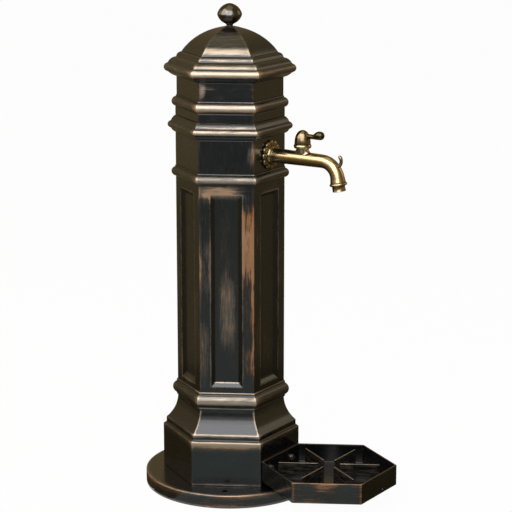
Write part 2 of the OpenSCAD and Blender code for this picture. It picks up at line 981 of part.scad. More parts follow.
module bonnet_nut() {
  bevel = 2;
  color(brass)
    at_valve(bonnet_z)
      difference() {
        rotate_extrude()
          polygon(concat(
            [[0, 0]],
            swell([bonnet_d / 2 - bevel, 0], [bonnet_d / 2 - bevel, bonnet_h], bevel),
            [[0, bonnet_h]]
          ));
        translate([0, 0, -past])
          cylinder(d = neck_d + 2 * thread_gap, h = bonnet_h - bonnet_lip + past);
        cylinder(d = cartridge_neck_d + 2 * rod_gap, h = bonnet_h + past);
      }
}

// Round plate with the valve's two ports through it
module ported_plate(thickness) {
  difference() {
    cylinder(d = cartridge_d, h = thickness);
    for (side = [-1, 1])
      translate([side * port_x, 0, -past])
        cylinder(d = port_d, h = thickness + 2 * past);
  }
}

module fixed_disc() {
  color(ceramic)
    at_valve(fixed_disc_z)
      ported_plate(disc_t);
}

module disc_seal() {
  color(rubber)
    at_valve(chamber_floor)
      ported_plate(seal_t);
}

module spindle_seal() {
  color(rubber)
    at_valve(seal_groove_z + seal_groove_h / 2)
      rotate_extrude()
        translate([spindle_d / 2 + spindle_gap + seal_squeeze + seal_d / 2, 0])
          circle(d = seal_d, $fn = 24);
}

module spindle() {
  color(brass)
    union() {
      at_valve(spindle_foot_z)
        cylinder(d = moving_disc_d, h = spindle_foot_h);
      at_valve(spindle_foot_z)
        cylinder(d = spindle_d, h = square_z - spindle_foot_z);
      at_valve(square_z + square_h / 2 - past / 2)
        cube([square_w, square_w, square_h + past], center = true);
    }
}

module moving_disc() {
  slot_l = 2 * port_x + port_d;
  slot_h = disc_t / 2;
  color(ceramic)
    at_valve(moving_disc_z)
      difference() {
        cylinder(d = moving_disc_d, h = disc_t);
        translate([-port_d / 2, -slot_l / 2, -past])
          cube([port_d, slot_l, slot_h + past]);
      }
}

module lever_handle() {
  waist_d = bell_d - 3;
  waist_h = bell_h * 0.44;
  socket_w = square_w + 2 * square_gap;
  color(brass)
    difference() {
      union() {
        at_valve(bell_z)
          rotate_extrude()
            polygon(concat(
              [[0, 0]],
              swell([bell_d / 2, 0], [waist_d / 2, waist_h], 0.4),
              swell([waist_d / 2, waist_h], [0, bell_h], 4.5)
            ));
        at_valve(lever_z)
          rotate([0, 90, 0])
            cylinder(d = lever_d, h = lever_reach);
        at_valve(knob_z)
          translate([lever_reach, 0, 0])
            sphere(d = knob_d);
      }
      at_valve(bell_z - past)
        cylinder(d = bell_cavity_d, h = bell_cavity_h + past);
      at_valve(square_z + square_h / 2)
        cube([socket_w, socket_w, square_h + past], center = true);
      at_valve(square_z + square_h / 2)
        rotate([0, -90, 0])
          cylinder(d = handle_screw_d + 2 * thread_gap, h = bell_d);
    }
}

module handle_screw() {
  color(steel)
    at_valve(square_z + square_h / 2)
      rotate([0, -90, 0])
        translate([0, 0, square_w / 2])
          cylinder(d = handle_screw_d, h = handle_screw_l);
}

module tray_pan() {
  color(patina)
    difference() {
      translate([tray_x, 0, tray_z])
        hexagon(tray_af, tray_h);
      translate([tray_x, 0, tray_z + tray_floor])
        hexagon(tray_af - 2 * tray_wall, tray_h);
      for (side = [-1, 1])
        translate([plinth_half - past, side * bolt_spread / 2, bolt_z])
          rotate([0, 90, 0])
            cylinder(d = bolt_d + 2 * bolt_gap, h = tray_wall + 2 * past);
      translate([tray_x + tray_half - tray_wall - past, drain_y, drain_z])
        rotate([0, 90, 0])
          cylinder(d = drain_d, h = tray_wall + 2 * past);
    }
}

module tray_ribs() {
  color(patina)
    for (turn = [30 : 60 : 330])
      translate([tray_x, 0, tray_z + tray_floor])
        rotate([0, 0, turn])
          translate([rib_in, -rib_t / 2, 0])
            cube([rib_out - rib_in, rib_t, tray_h - tray_floor]);
}

module tray_bolts() {
  seat = plinth_half + tray_wall + bolt_washer_t;
  tip = plinth_half - plinth_wall - nut_t - bolt_end;
  color(steel)
    for (side = [-1, 1])
      translate([0, side * bolt_spread / 2, bolt_z])
        rotate([0, 90, 0]) {
          translate([0, 0, tip])
            cylinder(d = bolt_d, h = seat - tip + past);
          translate([0, 0, seat])
            cylinder(d = bolt_head_af * corner, h = bolt_head_h, $fn = 6);
        }
}

module tray_washers() {
  color(steel)
    for (side = [-1, 1])
      translate([plinth_half + tray_wall, side * bolt_spread / 2, bolt_z])
        rotate([0, 90, 0])
          washer(bolt_washer_d, bolt_d + 2 * bolt_gap, bolt_washer_t);
}

module tray_nuts() {
  color(steel)
    for (side = [-1, 1])
      translate([plinth_half - plinth_wall - nut_t, side * bolt_spread / 2, bolt_z])
        rotate([0, 90, 0])
          difference() {
            cylinder(d = bolt_head_af * corner, h = nut_t, $fn = 6);
            translate([0, 0, -past])
              cylinder(d = bolt_d + 2 * thread_gap, h = nut_t + 2 * past);
          }
}

base_plate();
plinth();
foot_ring();
shaft();
neck_ring();
tap_block();
collar_moulding();
head_band();
head_ring();
lantern_block();
roof_cornice();
dome_cap();
finial();
tie_rod();
tie_rod_nut();
tie_rod_washer();
base_screws();
inlet_union();
riser_pipe();
riser_nuts();
inlet_elbow();
tap_body();
rosette();
tap_washer();
tap_backnut();
spout_nozzle();
nozzle_washer();
valve_cartridge();
bonnet_nut();
fixed_disc();
disc_seal();
spindle_seal();
spindle();
moving_disc();
lever_handle();
handle_screw();
tray_pan();
tray_ribs();
tray_bolts();
tray_washers();
tray_nuts();
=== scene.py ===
# %% [markdown]
# # Dressing a garden standpipe
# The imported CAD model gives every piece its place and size. This lesson lays finely curved surfaces over the
# castings and the tap that show, and gives each one the finish that the real one has: a dark copper patina
# rubbed through on its edges, and polished brass.

# %% Load the frame
import math

import bmesh
import bpy
import numpy as np
from mathutils import Matrix, Vector


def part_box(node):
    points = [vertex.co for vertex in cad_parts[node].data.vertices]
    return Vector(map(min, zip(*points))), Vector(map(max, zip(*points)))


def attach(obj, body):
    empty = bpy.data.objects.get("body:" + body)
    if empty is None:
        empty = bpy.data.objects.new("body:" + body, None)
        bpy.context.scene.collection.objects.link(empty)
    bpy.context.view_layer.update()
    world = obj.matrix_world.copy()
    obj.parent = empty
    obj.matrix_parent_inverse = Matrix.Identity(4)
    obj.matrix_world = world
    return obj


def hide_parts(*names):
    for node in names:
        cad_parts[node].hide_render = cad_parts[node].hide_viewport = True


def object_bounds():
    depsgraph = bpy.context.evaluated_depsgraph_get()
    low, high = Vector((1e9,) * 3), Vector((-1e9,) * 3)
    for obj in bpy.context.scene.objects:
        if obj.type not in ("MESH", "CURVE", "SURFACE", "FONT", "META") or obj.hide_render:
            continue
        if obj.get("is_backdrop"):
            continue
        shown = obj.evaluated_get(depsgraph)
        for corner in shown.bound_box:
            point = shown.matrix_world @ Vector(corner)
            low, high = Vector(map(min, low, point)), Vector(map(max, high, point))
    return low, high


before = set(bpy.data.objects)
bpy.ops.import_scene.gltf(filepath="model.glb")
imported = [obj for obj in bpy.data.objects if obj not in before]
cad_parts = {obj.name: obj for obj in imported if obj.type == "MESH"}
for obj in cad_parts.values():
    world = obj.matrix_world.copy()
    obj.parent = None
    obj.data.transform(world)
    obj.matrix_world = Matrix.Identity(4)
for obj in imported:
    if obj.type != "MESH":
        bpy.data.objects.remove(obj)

cad_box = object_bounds()
scene = bpy.context.scene
scene.view_settings.view_transform = "Standard"

# %% [markdown]
# ## The camera
# The photograph was taken from a little above the tray, with a long lens. The camera stands on a sphere round
# a point on the column's axis: one angle round it, one above the floor, and a distance. The picture's middle
# lies a little to the right of the axis, so the aim is shifted along the camera's own right.

# %% Set the camera
def direction(azimuth, elevation):
    """Unit vector away from the column: degrees round it from -Y towards +X, and degrees above the floor."""
    a, e = math.radians(azimuth), math.radians(elevation)
    return Vector((math.sin(a) * math.cos(e), -math.cos(a) * math.cos(e), math.sin(e)))


turn, rise, distance = 34.05, 13.78, 3.9427
aim_height, aim_right = 0.4824, 0.0524
sensor_mm, focal_px, picture_px = 36, 1923, 512
towards, right = direction(turn, rise), direction(turn + 90, 0)
aim = Vector((0, 0, aim_height)) + right * aim_right
axes = Matrix((right, towards.cross(right), towards)).transposed().to_4x4()
camera = bpy.data.objects.new("camera", bpy.data.cameras.new("camera"))
camera.data.sensor_width = sensor_mm
camera.data.lens = sensor_mm * focal_px / picture_px
camera.matrix_world = Matrix.Translation(aim + towards * distance) @ axes
scene.collection.objects.link(camera)
scene.camera = camera
print("camera at", [round(v, 3) for v in camera.matrix_world.translation])

# %% [markdown]
# ## Colours and nodes
# Colours are written as they look on a screen and turned to the linear values that light works with. One
# function adds a node with its settings and its links, so that a finish reads as a list of what feeds what.

# %% Helpers for finishes
def colour(code):
    """sRGB hex to linear: c / 12.92 below 0.04045, else ((c + 0.055) / 1.055) to the power 2.4."""
    c = np.array([int(code[i:i + 2], 16) / 255 for i in (1, 3, 5)])
    return (*np.where(c <= 0.04045, c / 12.92, ((c + 0.055) / 1.055) ** 2.4).tolist(), 1.0)


def feed(tree, node, inputs):
    """Gives sockets of a node a value, or a link from a socket or from another node's first open output."""
    for key, value in inputs.items():
        if isinstance(value, bpy.types.Node):
            value = next(socket for socket in value.outputs if socket.enabled)
        if isinstance(value, bpy.types.NodeSocket):
            tree.links.new(value, node.inputs[key])
        else:
            node.inputs[key].default_value = value


def add(tree, kind, inputs=None, **settings):
    """Adds one shader node: settings are its properties, inputs its sockets."""
    made = tree.nodes.new("ShaderNode" + kind)
    for key, value in settings.items():
        setattr(made, key, value)
    feed(tree, made, inputs or {})
    return made


def maths(tree, operation, *values):
    """Node that works out one value from others."""
    return add(tree, "Math", dict(enumerate(values)), operation=operation)


def mix(tree, share, first, second, **settings):
    """Node that mixes two colours, with that share of the second."""
    return add(tree, "Mix", {0: share, 6: first, 7: second}, data_type="RGBA", **settings)


def finish(name):
    """A new material, its node tree and its main shader."""
    made = bpy.data.materials.new(name)
    made.use_nodes = True
    return made, made.node_tree, made.node_tree.nodes["Principled BSDF"]


print("patina black in linear light", [round(v, 4) for v in colour("#0f1214")[:3]])

# %% [markdown]
# ## Studio
# A glossy dark casting shows its surroundings more than its own colour. The column stood before two broad
# soft windows of light, high in front, which draw the pale lines along the rolls, in a room with a dim cool
# floor before it and warm brown sides. Sheets that only reflections see stand for that room: cloths on the
# floor, walls and a ceiling, each in its own colour. The backdrop is white to the camera and in reflections,
# and lights the object at a plain level.

# %% Light, floor and backdrop
light_aim = Vector((0, 0, 0.55))


def soft_box(name, azimuth, elevation, reach, size, strength, tint):
    """An area light facing light_aim from a distance. Its watts are pi times its area times its radiance."""
    lamp = bpy.data.objects.new(name, bpy.data.lights.new(name, "AREA"))
    lamp.data.shape = "RECTANGLE"
    lamp.data.size, lamp.data.size_y = size
    lamp.data.energy = math.pi * size[0] * size[1] * strength
    lamp.data.color = colour(tint)[:3]
    way = direction(azimuth, elevation)
    lamp.location = light_aim + way * reach
    lamp.rotation_euler = way.to_track_quat("Z", "Y").to_euler()
    scene.collection.objects.link(lamp)


def card(name, azimuths, reach, heights, tint, glow=1.0, count=13):
    """A sheet that shows only in reflections, bent round the column from one azimuth to another.

    reach and heights give its two long edges: the same reach makes a wall, the same height a floor cloth."""
    a = np.radians(np.linspace(*azimuths, count))
    edges = [np.stack([r * np.sin(a), -r * np.cos(a), np.full_like(a, h)], 1) for r, h in zip(reach, heights)]
    mesh = bpy.data.meshes.new(name)
    mesh.from_pydata(np.concatenate(edges).tolist(), [],
                     [(i, i + 1, i + count + 1, i + count) for i in range(count - 1)])
    made = bpy.data.objects.new(name, mesh)
    paint, tree, shader = finish(name)
    feed(tree, shader, {"Base Color": (0, 0, 0, 1), "Specular IOR Level": 0, "Emission Color": colour(tint),
                        "Emission Strength": glow})
    mesh.materials.append(paint)
    for ray in ("camera", "diffuse", "transmission", "volume_scatter", "shadow"):
        setattr(made, "visible_" + ray, False)
    scene.collection.objects.link(made)
    made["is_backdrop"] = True


def shown(tree):
    """Node that is 1 for rays that show a thing, straight, mirrored or through glass, and else 0."""
    rays = add(tree, "LightPath").outputs
    seen = rays["Is Camera Ray"]
    for kind in ("Is Glossy Ray", "Is Transmission Ray"):
        seen = maths(tree, "MAXIMUM", seen, rays[kind])
    return seen


soft_box("right_window", 26, 37, 2.3, (2.2, 2.3), 2.6, "#f8f8fc")
soft_box("left_window", -32, 42, 2.3, (1.7, 1.9), 2.1, "#fffaf0")
soft_box("left_fill", -75, 25, 2.6, (1.2, 1.2), 0.7, "#fff0d8")
soft_box("right_fill", 140, 25, 2.6, (1.2, 1.2), 0.7, "#fff0d8")
front_turn, side_turn, left_turn = (-8, 74), (74, 352), (300, 352)
on_floor, at_wall = (0.004, 0.004), (3.4, 3.4)
room = {
    "front_cloth_near": (front_turn, (0.18, 0.8), on_floor, "#9faca9"),
    "front_cloth_middle": (front_turn, (0.8, 2.0), on_floor, "#9da39d"),
    "front_cloth_far": (front_turn, (2.0, 2.65), on_floor, "#8b8f86"),
    "front_cloth_edge": (front_turn, (2.65, 3.4), on_floor, "#788079"),
    "near_side_cloth": (side_turn, (0.18, 0.9), on_floor, "#8a784e", 0.22),
    "far_side_cloth": (side_turn, (0.9, 3.4), on_floor, "#8a7a56", 0.58),
    "front_wall_foot": (front_turn, at_wall, (0.0, 0.62), "#5a5e5c"),
    "front_wall": (front_turn, at_wall, (0.62, 2.2), "#c9c6c2"),
    "left_wall_foot": (left_turn, at_wall, (0.0, 0.75), "#94815a", 0.9),
    "left_wall": (left_turn, at_wall, (0.75, 2.4), "#d9cfb6"),
    "side_wall": ((74, 300), (3.4, 1.4), (0.0, 6.5), "#94815a", 0.82),
    "ceiling": ((0, 360), (0.01, 1.6), (4.6, 4.6), "#eadcae"),
}
for name, sheet in room.items():
    card(name, *sheet)

world = bpy.data.worlds.new("white_backdrop")
scene.world = world
world.use_nodes = True
sky = world.node_tree
daylight = sky.nodes["Background"]
feed(sky, daylight, {"Color": colour("#f6f4f0"), "Strength": 0.35})
white = add(sky, "Background", {"Color": (1, 1, 1, 1), "Strength": 1.0})
mixed = add(sky, "MixShader", {0: shown(sky), 1: daylight, 2: white})
feed(sky, sky.nodes["World Output"], {"Surface": mixed})

floor_half, floor_white = 9, 0.97
floor_mesh = bpy.data.meshes.new("floor")
corners = [(floor_half * x, floor_half * y, 0) for x, y in ((-1, -1), (1, -1), (1, 1), (-1, 1))]
floor_mesh.from_pydata(corners, [], [(0, 1, 2, 3)])
floor = bpy.data.objects.new("floor", floor_mesh)
scene.collection.objects.link(floor)
floor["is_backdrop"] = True
floor_paint, tree, shader = finish("pale_floor")
feed(tree, shader, {"Base Color": colour("#f4f3f1"), "Roughness": 0.9})
share = maths(tree, "MULTIPLY", shown(tree), floor_white)
glow = add(tree, "Emission", {"Color": (1, 1, 1, 1), "Strength": 1.0})
mixed = add(tree, "MixShader", {0: share, 1: shader, 2: glow})
feed(tree, tree.nodes["Material Output"], {"Surface": mixed})
floor_mesh.materials.append(floor_paint)

# %% [markdown]
# ## Antique copper
# The castings are coppered, darkened to a blue-black brown, then rubbed by hand so that the copper comes back
# along edges, on the rolls and in long brush strokes, and lacquered. Each surface carries four values of its
# own: *rub*, how much the hand reached it, with painted highlights and painted light added
# and painted shade taken off; *buff*, where the wheel then ran along a roll and left it
# pale, with pale bands painted as highlights on the front; *soot*, how deep in a groove it
# lies, and on the brass rosette painted shade too; and *grain*, millimetres across and along the brushing. The
# shader breaks the rubbing up with streaks about 1.5 mm wide and 50 mm long, and with scuffs of 7 by 24 mm, so
# the copper shows as strokes and not as a soft stain.

# %% Make the antique copper finish
antique_copper, tree, shader = finish("antique_copper_patina")
rub, buff, soot, grain = (add(tree, "Attribute", attribute_name=key).outputs
                          for key in ("rub", "buff", "soot", "grain"))
place = add(tree, "TexCoord").outputs["Object"]
breaks = rub["Fac"]
for wide, long, detail, rough, weight in ((1.5, 50, 5.0, 0.6, 1.5), (7, 24, 4.0, 0.65, 0.7)):
    scaled = add(tree, "Mapping", {"Vector": grain["Vector"], "Scale": (1 / wide, 1 / long, 1)})
    noise = add(tree, "TexNoise", {"Vector": scaled, "Scale": 1.0, "Detail": detail, "Roughness": rough})
    breaks = maths(tree, "MULTIPLY_ADD", noise, weight, breaks)
scuff = noise
cloud = add(tree, "TexNoise", {"Vector": place, "Scale": 1 / 0.06, "Detail": 3.0})
bare = add(tree, "MapRange", {"Value": breaks, "From Min": 1.22, "From Max": 1.90})
tones = add(tree, "ValToRGB", {"Fac": bare})
stops = [(0.0, "#0f1214"), (0.28, "#161513"), (0.5, "#33271f"), (0.64, "#5f4a3b"), (0.8, "#8b674b"),
         (1.0, "#c39a77")]
tones.color_ramp.elements[1].position = 1.0
for at, _ in stops[1:-1]:
    tones.color_ramp.elements.new(at)
for element, (_, code) in zip(tones.color_ramp.elements, stops):
    element.color = colour(code)
tinted = mix(tree, cloud, tones, colour("#2a241b"), blend_type="SOFT_LIGHT")
# pale holds the wheel's polish and the pale painted highlight bands; worn_and_highlit mixes in their pale
# colour.
pale = maths(tree, "MULTIPLY", buff["Fac"], bare)
worn_and_highlit = mix(tree, pale, tinted, colour("#bcae9b"))
grimed = mix(tree, soot["Fac"], worn_and_highlit, colour("#0b0a09"))
metal = add(tree, "MapRange", {"Value": bare, "From Min": 0.3, "From Max": 0.8, "To Min": 0.0, "To Max": 0.9})
sheen = add(tree, "MapRange", {"Value": scuff, "To Min": 0.14, "To Max": 0.34})
sheen = maths(tree, "MULTIPLY_ADD", bare, 0.24, sheen)
relief = add(tree, "Bump", {"Height": breaks, "Strength": 0.2, "Distance": 0.0002})
feed(tree, shader, {"Base Color": grimed, "Metallic": metal, "Roughness": sheen, "Normal": relief,
                    "Coat Weight": 0.6, "Coat Roughness": 0.12})
print("finish", antique_copper.name, len(tree.nodes), "nodes")

# %% [markdown]
# ## Polished brass and bronze
# The tap is cast brass, turned and buffed: nearly a mirror, with faint marks of the buffing about 2 mm apart
# and a brown tarnish left where the wheel couldn't reach. The finial is the same work in dark bronze. Metal
# keeps its colour in its reflections, so each is set as a metal with a low roughness that varies over patches
# of about 8 mm.

# %% Make the brass and bronze finishes
def clouded(name, first, second, patch_mm, metallic, roughness, tarnish=None):
    """Two colours and two roughnesses mixed by clouds of that size, with a fine relief.

    A buffed metal also has a tarnish, which lies where soot is high, with painted shade laid in it on the
    rosette, and a relief finer than its clouds."""
    detail = 3.0 if tarnish else 4.0
    made, tree, shader = finish(name)
    place = add(tree, "TexCoord").outputs["Object"]
    cloud = add(tree, "TexNoise", {"Vector": place, "Scale": 1000 / patch_mm, "Detail": detail})
    tone = mix(tree, cloud, colour(first), colour(second))
    height, strength, depth = cloud, 0.1, 0.0003
    if tarnish:
        soot = add(tree, "Attribute", attribute_name="soot").outputs["Fac"]
        tone = mix(tree, soot, tone, colour(tarnish))
        height = add(tree, "TexNoise", {"Vector": place, "Scale": 1 / 0.002, "Detail": 2.0})
        strength, depth = 0.06, 0.0002
    sheen = add(tree, "MapRange", {"Value": cloud, "To Min": roughness[0], "To Max": roughness[1]})
    relief = add(tree, "Bump", {"Height": height, "Strength": strength, "Distance": depth})
    feed(tree, shader, {"Base Color": tone, "Metallic": metallic, "Roughness": sheen, "Normal": relief})
    print("finish", name)
    return made


polished_brass = clouded("polished_brass", "#ae9870", "#c6b594", 8, 1.0, (0.10, 0.24), "#3a3117")
dark_bronze = clouded("polished_dark_bronze", "#5f5c56", "#75716a", 8, 1.0, (0.12, 0.22), "#1c1812")

# %% [markdown]
# ## A six-sided surface
# Every casting of the column is one outline carried round a hexagon. A hexagon with rounded corners is a
# smaller hexagon P pushed out along its normal N by the corner's radius, so a point of the surface is (half
# width - radius) * P(u) + radius * N(u) at the outline's height. The hand rubs what stands proud, so each
# point's *proud* is its distance outside a blurred copy of its own outline.

# %% Helpers for shapes
up_axis, out_axis = (0, 0, 1), (1, 0, 0)
small_mm, large_mm, straight_mm = 2.2, 9.0, 8
corner_steps = 5
face_steps = np.sin(np.linspace(-1, 1, 17) * math.pi / 2)


def once_round(count):
    """Angles of so many even steps round a circle."""
    return np.arange(count) / count * 2 * math.pi


def spread(x, y, z):
    """Three values, spread over one grid, as points."""
    return np.stack(np.broadcast_arrays(x, y, z), -1)


def hump(x, wide):
    """Bell curve: exp of minus the square of x / wide."""
    return np.exp(-(x / wide) ** 2)


def run_length(path):
    """Length along a line of points, from 0 at the first."""
    return np.concatenate([[0], np.cumsum(np.hypot(*np.diff(path, axis=0).T))])


def turned_to(way):
    """Matrix that turns rows of points from +Z to a direction."""
    return np.array(Vector(way).to_track_quat("Z", "Y").to_matrix()).T


def swell(p, q, sag, count=18):
    """Arc of a circle from p to q that stands out by sag on the right of the way from p to q."""
    p, q = np.array(p, float), np.array(q, float)
    way = q - p
    chord = np.hypot(*way)
    out = np.array([way[1], -way[0]]) / chord
    side, deep = np.sign(sag), abs(sag)
    radius = (chord ** 2 / 4 + deep ** 2) / (2 * deep)
    middle = (p + q) / 2 + out * (sag - side * radius)
    half = math.asin(min(1, chord / 2 / radius))
    t = np.linspace(-half, half, count)[:, None]
    return middle + radius * (side * out * np.cos(t) + way / chord * np.sin(t))


def blurred(loop, width):
    """Closed outline with evenly spaced points, smoothed by a bell curve of that many points, as waves."""
    wave = np.fft.fftfreq(len(loop))[:, None]
    return np.fft.ifft(np.fft.fft(loop, axis=0) * np.exp(-2 * (math.pi * width * wave) ** 2), axis=0).real


def outline(points, soft=0.7, step=0.4, fine=7.0):
    """Outline in mm, its corners rounded by about soft.

    Gives its points and three columns: how proud each is of a copy blurred by small_mm and by large_mm, and
    the upward share of its normal. It is closed, unless it starts and ends on the axis: then its mirror image
    closes it, and its own half is kept. Points are dense where it bends and sparse where it runs straight:
    their spacing is even in length / straight_mm plus turning angle / fine degrees."""
    loop = np.concatenate([np.atleast_2d(np.array(p, float)) for p in points])
    on_axis = loop[0, 0] == 0 and loop[-1, 0] == 0
    ring = np.concatenate([loop, loop[::-1] * [-1, 1]]) if on_axis else np.concatenate([loop, loop[:1]])
    run = run_length(ring)
    keep = np.concatenate([[True], np.diff(run) > 1e-6])
    count = 2 * int(run[-1] / step / 2)
    even = np.arange(count) / count * run[-1]
    dense = np.stack([np.interp(even, run[keep], ring[keep, i]) for i in (0, 1)], 1)
    smooth = blurred(dense, soft / step)
    way = np.roll(smooth, -1, 0) - np.roll(smooth, 1, 0)
    way /= np.hypot(*way.T)[:, None]
    out = np.stack([way[:, 1], -way[:, 0]], 1)
    small, large = (((smooth - blurred(smooth, mm / step)) * out).sum(1) for mm in (small_mm, large_mm))
    angle = np.unwrap(np.arctan2(way[:, 1], way[:, 0]))
    cost = np.cumsum(step / straight_mm + np.abs(np.gradient(angle)) / math.radians(fine))
    last = count // 2 if on_axis else count - 1
    pick = np.unique(np.searchsorted(cost[:last + 1], np.arange(cost[0], cost[last], 1.0)))
    pick = np.unique(np.concatenate([pick, [0, last]])) if on_axis else pick
    path = smooth[pick]
    if on_axis:
        path[[0, -1], 0] = 0
    return path, small[pick, None], large[pick, None], out[pick, 1:]


def hexagon_round(fractions):
    """One turn round a hexagon of half width 1: P, N, place along the face from -1 to 1, and face number."""
    faces = np.arange(6)[:, None] * math.pi / 3
    bend = np.arange(1, corner_steps + 1) / (corner_steps + 1)
    s = np.concatenate([fractions, np.ones(corner_steps)])[None]
    lean = np.concatenate([np.zeros(len(fractions)), bend])[None] * math.pi / 3
    tan = math.tan(math.pi / 6)
    p = np.stack([np.cos(faces) - s * tan * np.sin(faces), np.sin(faces) + s * tan * np.cos(faces)], -1)
    n = np.stack([np.cos(faces + lean), np.sin(faces + lean)], -1)
    s, number = np.broadcast_arrays(s, np.arange(6)[:, None])
    return p.reshape(-1, 2), n.reshape(-1, 2), s.ravel(), number.ravel()


def merge(mesh, *others, weld=0):
    """Adds other meshes to a mesh, and joins points that lie closer than weld."""
    net = bmesh.new()
    for each in (mesh, *others):
        net.from_mesh(each)
    if weld:
        bmesh.ops.remove_doubles(net, verts=net.verts, dist=weld)
    net.to_mesh(mesh)
    net.free()


def build(name, patches, finish_of, body="column", weld=False):
    """Mesh of grids of points in mm, each (points, values at the points, closed rows, closed columns).

    The quad of row i and column j joins it to the next of each; a closed direction joins last to first."""
    corners, quads, data = [], [], {}
    shared = sorted(set.intersection(*(set(patch[1]) for patch in patches)))
    for xyz, values, closed_rows, closed_columns in patches:
        rows, columns = xyz.shape[:2]
        i = np.arange(rows if closed_rows else rows - 1)[:, None]
        j = np.arange(columns if closed_columns else columns - 1)[None]
        a, b, k = i * columns, (i + 1) % rows * columns, (j + 1) % columns
        first = sum(len(c) for c in corners)
        quads.append(first + np.stack(np.broadcast_arrays(a + j, a + k, b + k, b + j), -1).reshape(-1, 4))
        corners.append(xyz.reshape(-1, 3) / 1000)
        for key in shared:
            full = np.broadcast_to(values[key], xyz.shape[:2] + values[key].shape[2:])
            data.setdefault(key, []).append(full.reshape(rows * columns, -1))
    mesh = bpy.data.meshes.new(name)
    mesh.from_pydata(np.concatenate(corners).tolist(), [], np.concatenate(quads).tolist())
    for key, parts in data.items():
        flat = np.concatenate(parts).astype(np.float32)
        kind, field = ("FLOAT_VECTOR", "vector") if flat.shape[1] == 3 else ("FLOAT", "value")
        mesh.attributes.new(key, kind, "POINT").data.foreach_set(field, flat.ravel())
    if weld:
        merge(mesh, weld=1e-6)
    mesh.shade_smooth()
    mesh.materials.append(finish_of)
    made = bpy.data.objects.new(name, mesh)
    scene.collection.objects.link(made)
    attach(made, body)
    return made


def stands_for(made, slot, *nodes):
    """The piece takes the place of these CAD nodes, which are hidden. slot is not used."""
    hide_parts(*nodes)
    print(made.name, len(made.data.polygons), "faces for", *nodes)
    return made


roll_outline = outline([swell((96, 0), (96, 24), 8), (90, 24), (90, 0)])
print("outline of a 24 mm roll has", len(roll_outline[0]), "points")

# %% [markdown]
# ## Sizes from the frame
# The plain tubes of the column tell where each moulding starts and ends, so the castings meet without fitting
# by eye.

# %% Read the heights and half widths
def span(node, axis):
    """Low and high edge of a CAD node along an axis, in mm."""
    low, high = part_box(node)
    return 1000 * low[axis], 1000 * high[axis]


column, plinth_half = span("shaft", 0)[1], span("plinth", 0)[1]
lantern, dome_half = span("lantern_block", 0)[1], span("dome_cap", 0)[1]
base_top = span("base_plate", 2)[1]
plinth_low, plinth_top = span("plinth", 2)
shaft_low, shaft_top = span("shaft", 2)
block_low, block_top = span("tap_block", 2)
band_low, band_top = span("head_band", 2)
lantern_low, lantern_top = span("lantern_block", 2)
dome_low, dome_top = span("dome_cap", 2)
finial_low, finial_top = span("finial", 2)
print("column half width", column, "shaft", shaft_low, shaft_top, "top", finial_top)

# %% [markdown]
# ## The mouldings
# Plinth, rings, collar and cornice are cast with the classical curves: hollow above the plinth, rolls above
# and below the shaft, steps under the roof. Each outline is a short list of corners and arcs, closed down the
# inside of the casting. Brushing follows a moulding's length, so its grain runs round the column, except on
# the tap's block, where it runs upwards.

# %% Carry an outline round the column
arris_radius = 1.6
tap_face, left_face, front_face = 0, 4, 5
hand_reach = np.array([0.6, 0.7, 0.55, 0.7, 0.5, 1.0])
grain_apart = 37.0


def strokes(s, z, marks):
    """Sum of brush marks on one face: flat-topped bells (centre, height, half width, half length, weight)."""
    total = np.zeros(np.broadcast(s, z).shape)
    for s0, z0, wide, tall, weight in marks:
        total += weight * np.exp(-np.abs((s - s0) / wide) ** 4 - np.abs((z - z0) / tall) ** 4)
    return total


def beside_front(number, s, elsewhere):
    """1 on the front face and on the halves of its neighbours that meet it, and another value elsewhere."""
    meets = ((number == left_face) & (s > 0)) | ((number == tap_face) & (s < 0))
    return np.where((number == front_face) | meets, 1.0, elsewhere)[None]


